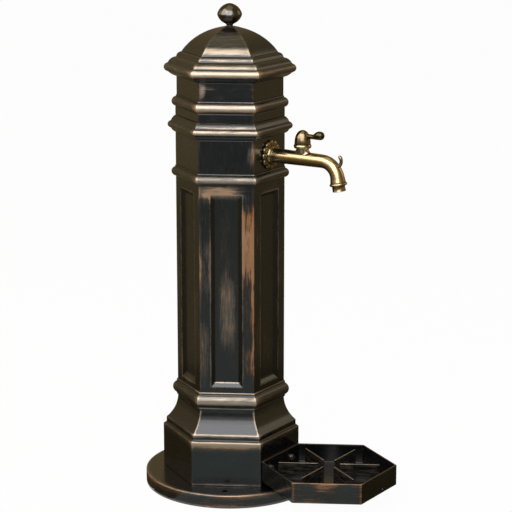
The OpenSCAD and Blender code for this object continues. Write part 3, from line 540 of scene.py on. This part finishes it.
def swept(points, corner=arris_radius, edge=0.8, roll=1.0, arris=1.0, marks=None, shine=(), centre=(0, 0),
          upright=False, soft=1.0, ends=(1.0, 1.0), fade=12, pale_arris=(0, 0, 0)):
    """Grid of an outline carried round a rounded hexagon, with its rub and buff, which carry painted highlights
    and painted shade too, its soot and its grain.

    edge, roll and arris weigh the rubbing of sharp edges, of rolls and of the hexagon's arrises. The front face
    and its arrises, which the hand meets first, are rubbed most. Surfaces that face down are rubbed and
    polished less, as painted shade under the rolls and overhangs. The lowest and the highest edge keep the
    shares in ends, which grow to 1 over 16 mm from below and over fade from above.
    marks are brush marks by face; shine are marks on the front that are rubbed and polished pale,
    most of them painted highlights laid where the windows' highlights fall; and pale_arris is a pale
    polished line on the front's arrises, a painted highlight (from a height, to a height, weight)."""
    ridge_wide, hand_wide, line_wide, polish_wide = 2.4, 16, 1.4, 7
    path, small, large, tilt = outline(points, soft)
    p, n, s, number = hexagon_round(face_steps)
    half, z = path[:, :1], path[:, 1:]
    radius = np.minimum(corner, 0.9 * np.abs(half))
    inner = half - radius
    xy = inner[..., None] * p[None] + radius[..., None] * n[None] + np.array(centre)
    face_half = inner * math.tan(math.pi / 6)
    s_mm = s[None] * face_half
    from_arris = (1 - np.abs(s))[None] * face_half
    near = beside_front(number, s, 0.35)
    ridge = hump(from_arris, ridge_wide) * (half > 0.3 * half.max()) * near
    reach = hand_reach[number][None] + (1 - hand_reach[number])[None] * hump(from_arris, hand_wide) * near
    # facing is 1 on surfaces that face up and 0 on those that face down; it takes rub and polish off the
    # undersides as painted shade.
    facing = np.clip((tilt + 0.55) / 0.4, 0, 1)
    kept = np.clip((z - z.min() - 4) / 16, ends[0], 1) * np.clip((z.max() - z - 4) / fade, ends[1], 1)
    edged = np.clip(small * 0.6 * edge, 0, 0.35) * facing * kept * reach
    rolled = np.clip(large * 0.26 * roll, 0, 0.72) * kept * reach
    low, high, weight = pale_arris
    # line and lit are painted highlights: pale polished bands on the front face where the windows' highlights
    # fall.
    line = weight * hump(from_arris, line_wide) * (z > low) * (z < high)
    lit = np.where(number == front_face, strokes(s_mm, z, shine) + line, 0)
    hand = np.zeros(s_mm.shape)
    for face, drawn in (marks or {}).items():
        hand += np.where((number[None] == face) | (face == "all"), strokes(s_mm, z, drawn), 0)
    # rub_and_light and polish_and_highlight take in the painted highlights of lit beside the real rubbing and
    # polish; the front face keeps the polish in full.
    rub_and_light = np.clip(edged + rolled * (0.8 + 0.2 * facing) + 0.26 * arris * ridge + hand + lit, 0, 1.0)
    share = np.where(number == front_face, 1.0, 0.15 + 0.5 * hump(from_arris, polish_wide) * (near == 1))
    polish_and_highlight = np.clip(rolled * facing / 0.6 + edged / 0.3 + lit / 0.5, 0, 1) * share
    dirt = np.clip(-small * 1.5 - large * 0.10, 0, 0.85) * np.ones_like(s_mm)
    around, along = (number + s / 2)[None] * 2 * face_half, run_length(path)[:, None]
    fibres = (around, along) if upright else (along, around)
    grains = spread(*fibres, grain_apart * number[None])
    values = {"rub": rub_and_light, "buff": polish_and_highlight, "soot": dirt, "grain": grains}
    return spread(xy[..., 0], xy[..., 1], z), values, path[0, 0] > 0, True


def moulding(name, node, points, hollow=None, **how):
    """Casting of the column in antique copper; hollow is the half width at which its outline closes inside."""
    inner = [(hollow, np.atleast_2d(points[end])[end, 1]) for end in (-1, 0)] if hollow else []
    made = build(name, [swept(points + inner, **how)], antique_copper, weld=True)
    return stands_for(made, "patina_casting", node)


inside, plinth_in = column - 12, plinth_half - 8
ring_in, cornice_in, dome_in = inside - 5, inside - 14, 75
band_half, cavetto_low, plinth_step = 117.5, plinth_top - 50, plinth_low + 84
step, eave = column + 8, lantern + 15
dome_tip, rod_hole = 7, 4.5
# On the plinth, the thin pale line along the foot and the pale line down the front arrises of the hollow are
# painted highlights.
moulding("plinth_casting", "plinth", [
    (plinth_half, plinth_low), (plinth_half, cavetto_low - 14), (band_half, cavetto_low - 10),
    swell((band_half, cavetto_low), (column, plinth_top), -5.4), (inside, plinth_top),
    (inside, plinth_step), (plinth_in, plinth_step), (plinth_in, plinth_low)],
    marks={"all": [(0, cavetto_low - 20, 80, 5, 0.22)],
           front_face: [(0, cavetto_low - 21.5, 80, 7.5, 0.52), (0, plinth_low + 56, 70, 36, 0.1)]},
    shine=[(0, plinth_low + 1.6, 72, 1.4, 0.42)], edge=1.0, arris=1.2, ends=(0.1, 0.0),
    pale_arris=(cavetto_low, plinth_top - 3, 0.46))
moulding("foot_roll", "foot_ring", [
    (column + 2, plinth_top), swell((column + 2, plinth_top + 4), (column + 2, plinth_top + 30), 7.3),
    (column + 2, shaft_low)], ring_in, edge=1.0, roll=0.85)
moulding("neck_roll", "neck_ring", [
    swell((column, shaft_top), (column, block_low - 3.4), 8), (column + 1.6, block_low - 3.4),
    (column + 1.6, block_low - 1.4), (column, block_low)], ring_in,
    edge=0.1, roll=0.6, ends=(1, 0.5), fade=2)
moulding("tap_block_casting", "tap_block", [(column, block_low), (column, block_top)], inside,
    marks={front_face: [(49, block_low + 34, 8, 30, 0.2)], tap_face: [(-50, block_low + 30, 6, 34, 0.35)]},
    shine=[(50, block_low + 38, 5, 18, 0.24)], edge=0, roll=0, arris=1.6, soft=0.35, upright=True)
# The pale band low on the collar's front is a painted highlight.
moulding("collar_steps", "collar_moulding", [
    swell((column, block_top), (step, block_top + 8.5), 1.3),
    swell((step, block_top + 8.5), (step, block_top + 23.5), 6.0),
    swell((step, block_top + 23.5), (column, band_low), 1.3)], ring_in,
    shine=[(0, band_low - 9.2, 70, 2.6, 0.5)], roll=0.62, ends=(1, 0.3))
moulding("head_band_casting", "head_band", [(column, band_low), (column, band_top)], inside,
    edge=0, roll=0, arris=1.8)
moulding("head_roll", "head_ring", [
    swell((column, band_top), (lantern, lantern_low - 3.2), 7.9), (lantern + 1.6, lantern_low - 3.2),
    (lantern + 1.6, lantern_low - 1.3), (lantern, lantern_low)], ring_in,
    edge=0.1, ends=(1, 0.45), fade=2)
# On the lantern's front the pale patch at the upper left is rubbed copper; the thin line along the upper right
# is a painted highlight.
moulding("lantern_casting", "lantern_block", [(lantern, lantern_low), (lantern, lantern_top)], inside,
    shine=[(-47, lantern_low + 18, 5, 17, 0.42), (-36, lantern_low + 25, 15, 4, 0.26),
           (26, lantern_low + 27, 28, 1.6, 0.2)], edge=0, roll=0, arris=1.6, soft=0.35)
# The two pale bands on the cornice's front are painted highlights.
moulding("cornice_steps", "roof_cornice", [
    swell((lantern, lantern_top), (eave, lantern_top + 9.5), 1.3),
    swell((eave, lantern_top + 9.5), (eave, lantern_top + 27.5), 7.4),
    swell((eave, lantern_top + 27.5), (lantern, lantern_top + 39.8), 2.8),
    swell((lantern, lantern_top + 39.8), (dome_half, dome_low), 2.6)], cornice_in,
    shine=[(0, lantern_top + 31.5, 70, 2.8, 0.5), (0, lantern_top + 44.6, 70, 3, 0.42)], ends=(1, 0.2))
# The pale band low on the dome's front is a painted highlight.
moulding("dome_roof", "dome_cap", [
    swell((dome_half, dome_low), (dome_tip, dome_top - 1.2), 10.6, 60), (dome_tip, dome_top),
    (rod_hole, dome_top), (rod_hole, dome_top - 9),
    swell((dome_in, dome_low + 7), (rod_hole, dome_top - 9), 9, 30)[::-1],
    (dome_in, dome_low)], ends=(0, 1), shine=[(0, dome_low + 9, 60, 6.5, 0.75)])

# %% [markdown]
# ## The panelled shaft
# Each face has one long panel, sunk behind a bevel. The face is a grid across and up, pushed in by a ramp:
# the depth grows from 0 at the panel's edge to 6 mm at the bevel's foot. The ramp is the difference of two
# soft corners, w * log(1 + exp(x / w)), so that both edges of the bevel are rounded and catch the light.
# Brushing runs up the stiles and the panel, and along the rails above and below it.

# %% Build the shaft
def soft_corner(x, width=0.55):
    """Smooth max(x, 0): width * log(1 + exp(x / width))."""
    return width * np.logaddexp(0, x / width)


def from_foot(marks):
    """Brush marks whose heights are measured from the shaft's foot."""
    return [(at, shaft_low + height, *size) for at, height, *size in marks]


def with_hollow(values):
    """Values of the outside, and 0 on the two rows of the hollow."""
    return np.concatenate([values, np.zeros_like(values[:2])])


panel_half, panel_bevel, panel_deep = 32.0, 9.0, 6.0
panel_low, panel_high = shaft_low + 12, shaft_top - 20
flat = (column - arris_radius) * math.tan(math.pi / 6)
across = np.concatenate([np.linspace(0, 21, 9), np.linspace(22, 33, 16), np.linspace(34.5, flat, 11)])
across = np.concatenate([-across[:0:-1], across]) / flat
z = np.concatenate([
    np.linspace(shaft_low, panel_low - 1.5, 5), np.linspace(panel_low - 1, panel_low + 11, 17),
    np.linspace(panel_low + 15, panel_high - 15, 84), np.linspace(panel_high - 11, panel_high + 1, 17),
    np.linspace(panel_high + 2, shaft_top, 7)])[:, None]
p, n, s, number = hexagon_round(across)
s_mm = s[None] * flat
on_face = np.tile(np.arange(len(across) + corner_steps) < len(across), 6)[None]
in_front = number[None] == front_face
inwards = np.minimum(panel_half - np.abs(s_mm), np.minimum(z - panel_low, panel_high - z))
ramp = (soft_corner(inwards) - soft_corner(inwards - panel_bevel)) / panel_bevel
depth = np.where(on_face, panel_deep * ramp, 0)
xy = ((column - arris_radius) * p + arris_radius * n)[None] - depth[..., None] * n[None]
outer = spread(xy[..., 0], xy[..., 1], z)
hollow = spread(*(inside * p).T, np.array([[shaft_top], [shaft_low]]))

front_marks = from_foot([
    (-13, 416, 45, 12.5, 0.80), (-40, 404, 9, 12, 0.36), (43, 318, 13, 74, 0.84), (34, 300, 3, 84, 0.30),
    (53, 220, 3, 170, 0.34), (45, 190, 10, 80, 0.44), (45, 66, 10, 36, 0.54), (-53, 260, 3, 70, 0.36),
    (-33, 262, 4, 54, 0.42), (-44, 255, 9, 60, 0.26), (-46, 82, 10, 62, 0.46), (4, 205, 12, 30, 0.1),
    (2, 166, 17, 70, 0.38), (3, 118, 15, 34, 0.18), (-3, 290, 11, 110, 0.3)])
haze_marks = from_foot([(-13, 416, 50, 14, 0.35), (2, 166, 20, 76, 0.26), (-44, 200, 14, 190, 0.14)])
other_marks = from_foot([
    (-40, 120, 10, 50, 0.40), (42, 250, 9, 60, 0.42), (0, 90, 15, 40, 0.35), (10, 418, 30, 9, 0.35),
    (-45, 330, 7, 50, 0.38)])
other_reach = [1.15, 1.6, 1.7, 1.6, 1.0]
marks_lower = 23
hand = np.where(in_front, strokes(s_mm, z, front_marks), 0)
for face, strength in enumerate(other_reach):
    flip = -1 if face % 2 else 1
    drawn = strokes(flip * s_mm, z + marks_lower * face, other_marks)
    hand += np.where(number[None] == face, strength * drawn, 0)
haze = np.where(in_front, strokes(s_mm, z, haze_marks), 0)
ridge = np.where(on_face, hump(flat - np.abs(s_mm), 3.0), 1.0) * beside_front(number, s, 0.5)
lip, bevel_foot = hump(inwards + 0.6, 1.3), hump(inwards - panel_bevel, 1.4)
# bevel_highlight is a painted highlight: the front panel's bottom bevel faces up to the windows, so it is
# rubbed and polished pale there and kept clear of soot.
bevel_highlight = hump(z - panel_low - panel_bevel + 0.8, 1.5) * in_front * (z < panel_low + 14) * (inwards > 5)
rail = (z > panel_high + 1.5) | (z < panel_low - 1.25)
over = s_mm + 150.0 * number[None]
values = {
    "rub": np.clip(hand + 0.36 * ridge + 0.26 * lip + 0.8 * bevel_highlight, 0, 1.1),
    "buff": np.maximum(np.maximum(0.5 * lip, bevel_highlight), haze),
    "soot": np.clip(0.75 * bevel_foot, 0, 0.8) * (1 - bevel_highlight),
    "grain": spread(np.where(rail, z, over), np.where(rail, over, z), grain_apart * number[None])}
panelled = (np.concatenate([outer, hollow]), {key: with_hollow(v) for key, v in values.items()}, True, True)
shaft = stands_for(build("panelled_shaft", [panelled], antique_copper), "patina_casting", "shaft")
shaft.data.set_sharp_from_angle(angle=math.radians(60))
print("shaft", panelled[0].shape, "deepest", round(float(depth.max()), 2), "mm")

# %% [markdown]
# ## Turned pieces
# The finial, the base plate, the ring nut, the lever's bell and the nozzle are turned: an outline carried
# round an axis, (r cos u, r sin u, z).

# %% Turn an outline round an axis
def turned(points, foot=(0, 0, 0), way=up_axis, sides=96, soft=0.5, ripple=None):
    """Grid of an outline (radius, height) turned round an axis; ripple(angle, r, z) adds to the radius."""
    path, small, large, _ = outline(points, soft, step=0.2, fine=9.0)
    u = once_round(sides)
    r, z = np.maximum(path[:, :1], 0), path[:, 1:]
    wide = r + (ripple(u[None], r, z) if ripple else 0)
    xyz = spread(wide * np.cos(u), wide * np.sin(u), z) @ turned_to(way) + np.array(foot)
    rub_and_light = (np.clip(small * 0.9, 0, 0.3) + np.clip(large * 0.06, 0, 0.3)) * np.ones_like(u)
    dirt = np.clip(-small * 2.2 - large * 0.15, 0, 0.9) * np.ones_like(u)
    grains = spread(run_length(path)[:, None], u * np.maximum(r, 1), 0)
    return xyz, {"rub": rub_and_light, "buff": 0.6 * rub_and_light, "soot": dirt, "grain": grains}, path[0, 0] > 0, True


belly, belly_r, stud_r = (finial_low + finial_top) / 2, 25.1, 4.05
knob = turned([
    (0, finial_low + 18), (stud_r, finial_low + 18), (stud_r, finial_low), (dome_tip, finial_low),
    (6.5, finial_low + 1.5), swell((dome_tip, finial_low + 3), (belly_r, belly), 3.4, 30),
    swell((belly_r, belly), (0, finial_top), 5.4, 40)], soft=1.6)
stands_for(build("finial_knob", [knob], dark_bronze, weld=True), "patina_casting", "finial")

# %% [markdown]
# ## Base plate
# A thick disc with a small bevel, drilled for the ground anchors and, from beneath, for the plinth's screws,
# the rod and the supply. Holes are drilled here too: a solid of plain rods is taken away from the disc.

# %% Turn and drill the base plate
def drill(made, rods):
    """Takes rods, each (foot, way, radius, length) in mm, out of a closed piece."""
    patches = []
    u = once_round(48)
    for foot, way, radius, length in rods:
        r, z = np.array([[0, radius, radius, 0], [0, 0, length, length]])[..., None]
        rod = spread(r * np.cos(u), r * np.sin(u), z) @ turned_to(way) + np.array(foot, float)
        patches.append((rod, {}, False, True))
    drills = build("drills", patches, made.data.materials[0], weld=True)
    cut = made.modifiers.new("drilled", "BOOLEAN")
    cut.operation, cut.solver, cut.object = "DIFFERENCE", "EXACT", drills
    ready = made.evaluated_get(bpy.context.evaluated_depsgraph_get())
    mesh = bpy.data.meshes.new_from_object(ready)
    made.modifiers.remove(cut)
    made.data = mesh
    mesh.set_sharp_from_angle(angle=math.radians(40))
    bpy.data.objects.remove(drills)
    return made


def polar(radius, degrees):
    """Point of the floor plan at a distance and an angle."""
    return radius * math.cos(math.radians(degrees)), radius * math.sin(math.radians(degrees))


rim = span("base_plate", 0)[1]
disc = turned([(0, 0), (rim - 0.6, 0), (rim, 0.6), (rim, base_top - 2), (rim - 2, base_top), (0, base_top)],
              sides=192)
x, y, z = np.moveaxis(disc[0], -1, 0)
rim_marks = [(-62, 8, 16, 8, 0.34), (-118, 20, 26, 9, 0.30), (-44, 22, 18, 6, 0.3)]
rim_haze = 0.2 * (np.hypot(x, y) > rim - 1)
disc[1]["rub"] = (disc[1]["rub"] * np.where(z > 4, 0.8, 0.2) + rim_haze
                  + 0.8 * strokes(np.degrees(np.arctan2(y, x)), z, rim_marks))
plate = build("base_disc", [disc], antique_copper, weld=True)
below, midway, axis, supply = -1, 5, (0, 0), (46, 0)
anchors = [polar(151, a) for a in (60, 180, 300)]
stepped = [(polar(118.8, a), 7, 10, 4.5) for a in (90, 210, 330)]
stepped += [(axis, 15, 15, rod_hole), (supply, 24, 21, 13.8)]
rods = [((*at, below), up_axis, 6, base_top + 2) for at in anchors]
for at, pocket, deep, bore in stepped:
    rods += [((*at, below), up_axis, pocket, deep), ((*at, midway), up_axis, bore, base_top)]
stands_for(drill(plate, rods), "patina_casting", "base_plate")

# %% [markdown]
# ## Drip tray
# The tray is a six-sided pan with a thin upright rim and a flat floor, six ribs that carry a bucket, two
# bolts through the wall behind and a drain in the wall in front. A rib is every point within half its
# thickness of an upright sheet: a stadium carried up and drawn in at its top and bottom edges.

# %% Build the tray and its ribs
tray_low, tray_top = span("tray_pan", 2)
tray_near, tray_far = span("tray_pan", 0)
tray_mid = (tray_near + tray_far) / 2
tray_half, tray_floor = tray_far - tray_mid, tray_low + 4
tray_in = tray_half - 3.5
pan = swept([
    (0, tray_low), (tray_half, tray_low), (tray_half, tray_top), (tray_in, tray_top), (tray_in, tray_floor),
    (0, tray_floor)],
    corner=2.2, centre=(tray_mid, 0), roll=0.35, soft=0.7, edge=0.35, arris=1.6, ends=(0.3, 1),
    marks={front_face: [(-4, tray_top - 7, 22, 11, 0.42), (-34, tray_low + 5, 24, 5, 0.42),
                        (0, tray_low + 21, 66, 24, 0.32), (-62, tray_low + 21, 9, 26, 0.22),
                        (62, tray_low + 21, 8, 26, 0.2)],
           tap_face: [(10, tray_top - 8, 30, 8, 0.2)]})
x, y, z = np.moveaxis(pan[0], -1, 0)
# The inside of the pan is rubbed a little all over: painted light that lightens its floor and walls.
painted_light_inside = (np.hypot(x - tray_mid, y) < tray_half - 3) * (z < tray_top - 3)
pan[1]["rub"] = np.maximum(pan[1]["rub"], 0.3 * painted_light_inside)
pan[1]["buff"] = 0.2 * pan[1]["buff"]
tray = build("drip_tray", [pan], antique_copper, weld=True)
holes = [((plinth_half - 5, y, (tray_low + tray_top) / 2), out_axis, 3.4, 12) for y in (-38.5, 38.5)]
holes.append(((tray_mid + tray_half - 8, 14, tray_low + 8), out_axis, 3, 14))
stands_for(drill(tray, holes), "patina_casting", "tray_pan")


def rib(degrees, low, high, near=22.0, far=103.0, half=1.5):
    """Grid of one upright rib: a segment from near to far, widened by d, with d drawn in over the edges."""
    d = half * np.array([0, 0.75, 0.95, 1, 1, 0.93, 0.7, 0.35, 0])[:, None]
    z = np.array([low, low, low + 0.3, low + 1, high - 1.2, high - 0.4, high - 0.1, high, high])[:, None]
    turn = np.linspace(-math.pi / 2, math.pi / 2, 9)
    x = np.concatenate([far - half + d * np.cos(turn), near + half - d * np.cos(turn)], 1)
    y = np.concatenate([d * np.sin(turn), -d * np.sin(turn)], 1)
    c, s = polar(1, degrees)
    worn_top = np.array([0.2] * 5 + [0.45] + [0.65] * 3)[:, None] * np.ones_like(x)
    values = {"rub": worn_top, "buff": worn_top, "soot": 0 * worn_top, "grain": spread(z, x, 11.0 * degrees)}
    return spread(tray_mid + c * x - s * y, s * x + c * y, z), values, False, True


ribs = [rib(a, tray_floor, tray_top) for a in range(30, 390, 60)]
stands_for(build("tray_rib_set", ribs, antique_copper, weld=True), "patina_casting", "tray_ribs")

# %% [markdown]
# ## The tap
# The tap's body is one casting: a tapered pipe from the wall, a bend, a flare for the nozzle, and a neck for
# the valve. The pipe is an outline of radius over length carried along its middle line: straight, then
# nearly a quarter circle. The neck runs into the pipe over a smooth patch: each of its lines is a cubic with
# given ends and directions, which leaves the neck straight down and lands on the pipe along its surface. A
# small hook for a bucket stands on the bend.

# %% Shape the tap's body
tap_height, tail, valve = 704.0, 56.0, 174.0
bend_start, bend_radius, bend_turn = 220.0, 36.0, math.radians(80)
straight, arc_length, past_bend = bend_start - tail, bend_radius * bend_turn, 9
pipe_end = straight + arc_length + past_bend


def middle_line(s):
    """Point and upward normal of the tap's middle line at a length s from its tail, in the plane y = 0."""
    turn = np.clip(s - straight, 0, arc_length) / bend_radius
    extra = np.maximum(s - straight - arc_length, 0)
    x = tail + np.minimum(s, straight) + bend_radius * np.sin(turn) + extra * math.cos(bend_turn)
    z = tap_height - bend_radius * (1 - np.cos(turn)) - extra * math.sin(bend_turn)
    return spread(x, 0, z), spread(np.sin(turn), 0, np.cos(turn))


def tube(line, normals, radii, sides=28):
    """Grid of a round bar along a line in the plane y = 0, with a normal and a radius at each point."""
    t = once_round(sides)[None, :, None]
    ring = np.cos(t) * normals[:, None] + np.sin(t) * np.array([0, 1.0, 0])
    return (line[:, None] + radii[:, None, None] * ring)[:, ::-1]


thread_r, flange_r, seat_r, bore_r = 13.22, 19, 10.1, 7.5
face_at = column - tail
length = np.linspace(face_at + 4, pipe_end, 60)
flare = 2.2 * np.clip((length - straight) / (arc_length + past_bend), 0, 1) ** 5
wide = np.interp(length, [face_at, straight], [15, 13.3]) + flare
path, small, _, _ = outline([
    (thread_r, 0), (thread_r, face_at), (flange_r, face_at), (flange_r, face_at + 4),
    np.stack([wide, length], 1), (seat_r, pipe_end), (seat_r, pipe_end - 6), (bore_r, pipe_end - 6),
    (bore_r, 0)], soft=0.35, step=0.25, fine=9.0)
pipe = tube(*middle_line(path[:, 1]), path[:, 0], 72)
pipe_soot = np.clip(-small * 2.0, 0, 0.8) * np.ones(pipe.shape[:2])
pipe_piece = build("tap_pipe", [(pipe, {"soot": pipe_soot}, True, True)], polished_brass)
neck_r, neck_bore, neck_low, pipe_r = 12.5, 9.0, 5, 13.74
pull, side_pull = 9, 0.6
drill(pipe_piece, [((valve, 0, tap_height + neck_low), up_axis, neck_bore, 40)])

u = once_round(72)[None]
foot_x, foot_y = 19 * np.cos(u), 11.5 * np.sin(u)
foot_z = np.sqrt(pipe_r ** 2 - foot_y ** 2)
low = spread(valve + foot_x, foot_y, tap_height + foot_z - 0.25)
low_way = pull * spread(-np.cos(u), -side_pull * np.sin(u), foot_y / foot_z * side_pull * np.sin(u))
top = spread(valve + neck_r * np.cos(u), neck_r * np.sin(u), tap_height + 21.0)
top_way = np.array([0, 0, pull])
w = np.linspace(0, 1, 20)[:, None, None]
neck = ((2 * w ** 3 - 3 * w ** 2 + 1) * low + (w ** 3 - 2 * w ** 2 + w) * low_way
        + (3 * w ** 2 - 2 * w ** 3) * top + (w ** 3 - w ** 2) * top_way)
r, h = np.array([(neck_r, 25.6), (12.1, 26), (9.1, 26), (neck_bore, 25.8), (neck_bore, neck_low)]).T[..., None]
neck = np.concatenate([neck, spread(valve + r * np.cos(u), r * np.sin(u), tap_height + h)])
neck_soot = np.zeros(neck.shape[:2])
neck_soot[:4] = 0.25

hook_x, hook_r = 251, 12.5
angle, part = np.radians(np.linspace(-72, 40, 30)), np.linspace(0, 1, 30)
outwards = spread(np.cos(angle), 0, np.sin(angle))
nub = np.array([hook_x, 0, tap_height + 4]) + hook_r * outwards
thick = 3.3 + 0.6 * part[::-1] ** 2 + 0.4 * hump(part - 0.9, 0.12)
cap = np.linspace(0, math.pi / 2, 8)[1:]
tip_way = np.array([-math.sin(angle[-1]), 0, math.cos(angle[-1])])
nub = np.concatenate([nub[:1], nub, nub[-1] + thick[-1] * np.sin(cap)[:, None] * tip_way])
outwards = np.concatenate([outwards[:1], outwards, np.repeat(outwards[-1:], len(cap), 0)])
hook = tube(nub, outwards, np.concatenate([[0], thick, thick[-1] * np.cos(cap)]))
extra = build("tap_neck_and_hook", [(neck, {"soot": neck_soot}, True, True),
                                    (hook, {"soot": np.full(hook.shape[:2], 0.45)}, False, True)],
              polished_brass, weld=True)
merge(pipe_piece.data, extra.data)
bpy.data.objects.remove(extra)
pipe_piece.name = "tap_casting"
stands_for(pipe_piece, "polished_brass", "tap_body")

# %% [markdown]
# ## Rosette, ring nut, nozzle and lever
# The rosette is a pressed flower: a height over the wall that is the larger of twelve round cushions and a
# cone round the pipe, with the corner between them softened. The nozzle's thread is a ripple of the radius
# that climbs one pitch in a turn. The lever's bell is turned, and its arm swells into a knob whose underside
# stays level, as on a cast lever.

# %% Shape the rosette
petals, petal_ring, petal_r = 12, 22.5, 7.5
rosette_bore, rosette_seat, seat_deep = 15.3, 19.2, 4.2
half_petal = math.pi / petals
u = once_round(20 * petals)
off = (u + half_petal) % (2 * half_petal) - half_petal
reach = petal_ring * np.cos(off) + np.sqrt(petal_r ** 2 - (petal_ring * np.sin(off)) ** 2)
r = rosette_bore + (reach - rosette_bore)[None] * np.linspace(0, 1, 40)[:, None] ** 0.8
gap = np.hypot(r * np.cos(off) - petal_ring, r * np.sin(off))
cushion = seat_deep + 3.3 * np.sqrt(np.clip(1 - (gap / petal_r) ** 2, 0, 1)) - 0.5 * hump(off * r, 0.7)
cone = 11.5 - 0.2 * (r - rosette_bore) - np.maximum(r - 16.6, 0) ** 1.12
soft_top = 0.5 * (cushion + cone + np.sqrt((cushion - cone) ** 2 + 0.6))
row = np.ones((1, len(u)))
rows_r = np.concatenate([rosette_bore * row, r, reach[None] - 0.05, rosette_seat * row, rosette_seat * row])
rows_h = np.concatenate([seat_deep * row, np.maximum(soft_top, 0.6), 0 * row, 0 * row, seat_deep * row])
xyz = spread(column + rows_h, rows_r * np.cos(u), tap_height + rows_r * np.sin(u))
groove_and_shade = np.clip(1 - np.abs(cushion - cone) / 2.2, 0, 1) * 0.75 + 0.5 * (np.abs(off) * r > 5.2) * (r > 22)
# Tarnish lies in the creases between cushions and cone and between the petals; the 0.36 added over the whole
# flower is painted shade.
groove_and_shade = np.concatenate([groove_and_shade[:1], np.clip(groove_and_shade + 0.36, 0, 0.85), groove_and_shade[-1:] * 0, groove_and_shade[:2] * 0])
flower = build("rosette_flower", [(xyz, {"soot": groove_and_shade}, True, True)], polished_brass)
stands_for(flower, "polished_brass", "rosette")

# %% Turn the ring nut and the nozzle
nut_low, nut_ledge, nut_top = (tap_height + up for up in (21.5, 28, 29.5))
nut_r, nut_bore, nut_seat = 15.8, 8.5, 12.55
ring = turned([
    swell((nut_r, nut_low), (nut_r, nut_top), 1.9, 20), (nut_bore, nut_top), (nut_bore, nut_ledge),
    (nut_seat, nut_ledge), (nut_seat, nut_low)], foot=(valve, 0, 0), soft=0.4)
stands_for(build("ring_nut", [ring], polished_brass), "polished_brass", "bonnet_nut")

spout_foot = middle_line(np.array([pipe_end - past_bend]))[0][0]
spout_way = (math.cos(bend_turn), 0, -math.sin(bend_turn))
pitch, thread_deep, thread_low, thread_high = 1.81, 0.45, 16.5, 26
nozzle_r, plug_r, nozzle_bore = 16.2, 10, 8
nozzle_low, rim_low, rim_top, nozzle_end = 4, 10, 15, 26.5


def thread(u, r, z):
    """One-start thread on the nozzle's outside."""
    on = (r > 12) * np.clip((z - thread_low) / 1.5, 0, 1) * np.clip(thread_high - z, 0, 1)
    return thread_deep * on * (np.cos(2 * math.pi * z / pitch - u) - 1)


nozzle = turned([
    (nozzle_bore, nozzle_low), (plug_r, nozzle_low), (plug_r, rim_low), (nozzle_r, rim_low),
    swell((nozzle_r, rim_low), (nozzle_r, rim_top), 1.3, 12), (thread_r, rim_top),
    *[(thread_r, z) for z in np.linspace(15.2, 26.3, 60)], (12.9, nozzle_end), (nozzle_bore, nozzle_end)],
    foot=spout_foot, way=spout_way, soft=0.3, ripple=thread)
stands_for(build("hose_nozzle", [nozzle], polished_brass), "polished_brass", "spout_nozzle")

# %% Shape the lever
bell_low, bell_top = tap_height + 30.0, span("lever_handle", 2)[1]
bell_r, bell_bore, bell_roof = 16, 11.5, bell_low + 10
arm_end, arm_r, knob_r, knob_x = 26, 4.7, 8.5, 41
quarter = np.linspace(0, math.pi / 2, 60)[:-1]
bell_side = np.stack([bell_r * np.cos(quarter), bell_low + (bell_top - bell_low) * np.sin(quarter) ** 0.83], 1)
bell = turned([(0, bell_roof), (bell_bore, bell_roof), (bell_bore, bell_low), bell_side, (0, bell_top)],
              foot=(valve, 0, 0), soft=0.4)
# The bell is darkened at least halfway towards the tarnish colour.
bell[1]["soot"] = np.maximum(bell[1]["soot"], 0.5)
x = np.concatenate([np.linspace(8, arm_end, 14), np.linspace(arm_end + 1, knob_x, 24)])
thick = arm_r + (knob_r - arm_r) * np.sin(np.clip((x - arm_end) / 13, 0, 1) * math.pi / 2) ** 0.8
cap = np.linspace(0, math.pi / 2, 14)[1:]
x = np.concatenate([x[:1], x, knob_x + knob_r * np.sin(cap)])
level = bell_low + 11.2 + np.concatenate([[arm_r], thick, np.full(len(cap), knob_r)])
arm = tube(spread(valve + x, 0, level), np.tile([0, 0, 1.0], (len(x), 1)),
           np.concatenate([[0], thick, knob_r * np.cos(cap)]), 40)
# The arm and knob are darkened nearly all over towards the tarnish colour.
handle = build("lever", [bell, (arm, {"soot": np.full(arm.shape[:2], 0.9)}, False, True)], polished_brass,
               body="lever", weld=True)
stands_for(handle, "polished_brass", "lever_handle")

# %% [markdown]
# ## Plain pieces
# What is left keeps its CAD surface: zinc-plated bolts, nuts and washers, the copper riser, plain brass
# fittings, rubber rings and the ceramic discs. Each still gets its own surface: zinc and drawn copper are
# metals with a cloudy sheen, rubber is near black and dull, ceramic is white and smooth.

# %% Finish the plain pieces
plain = {
    clouded("zinc_plate", "#8f9092", "#c9c7c2", 3, 1.0, (0.25, 0.45)): [
        "tie_rod", "tie_rod_nut", "tie_rod_washer", "base_screws", "handle_screw", "tray_bolts", "tray_washers",
        "tray_nuts"],
    clouded("plain_brass", "#a98242", "#c9a660", 6, 1.0, (0.28, 0.42)): [
        "inlet_union", "riser_nuts", "inlet_elbow", "tap_backnut", "valve_cartridge", "spindle"],
    clouded("drawn_copper", "#a35c3c", "#c98a63", 5, 1.0, (0.25, 0.4)): ["riser_pipe"],
    clouded("black_rubber", "#161616", "#232221", 2, 0.0, (0.55, 0.75)): [
        "tap_washer", "nozzle_washer", "disc_seal", "spindle_seal"],
    clouded("valve_ceramic", "#e2dfd6", "#f0eee8", 4, 0.0, (0.12, 0.25)): ["fixed_disc", "moving_disc"],
}
for material, nodes in plain.items():
    for node in nodes:
        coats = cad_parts[node].data.materials
        coats.clear()
        coats.append(material)
print("plain finishes on", sum(len(v) for v in plain.values()), "nodes")

# %% Print the bounds
visual_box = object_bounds()
for title, box in (("CAD", cad_box), ("visual", visual_box)):
    print(title, [[round(c, 4) for c in corner] for corner in box])
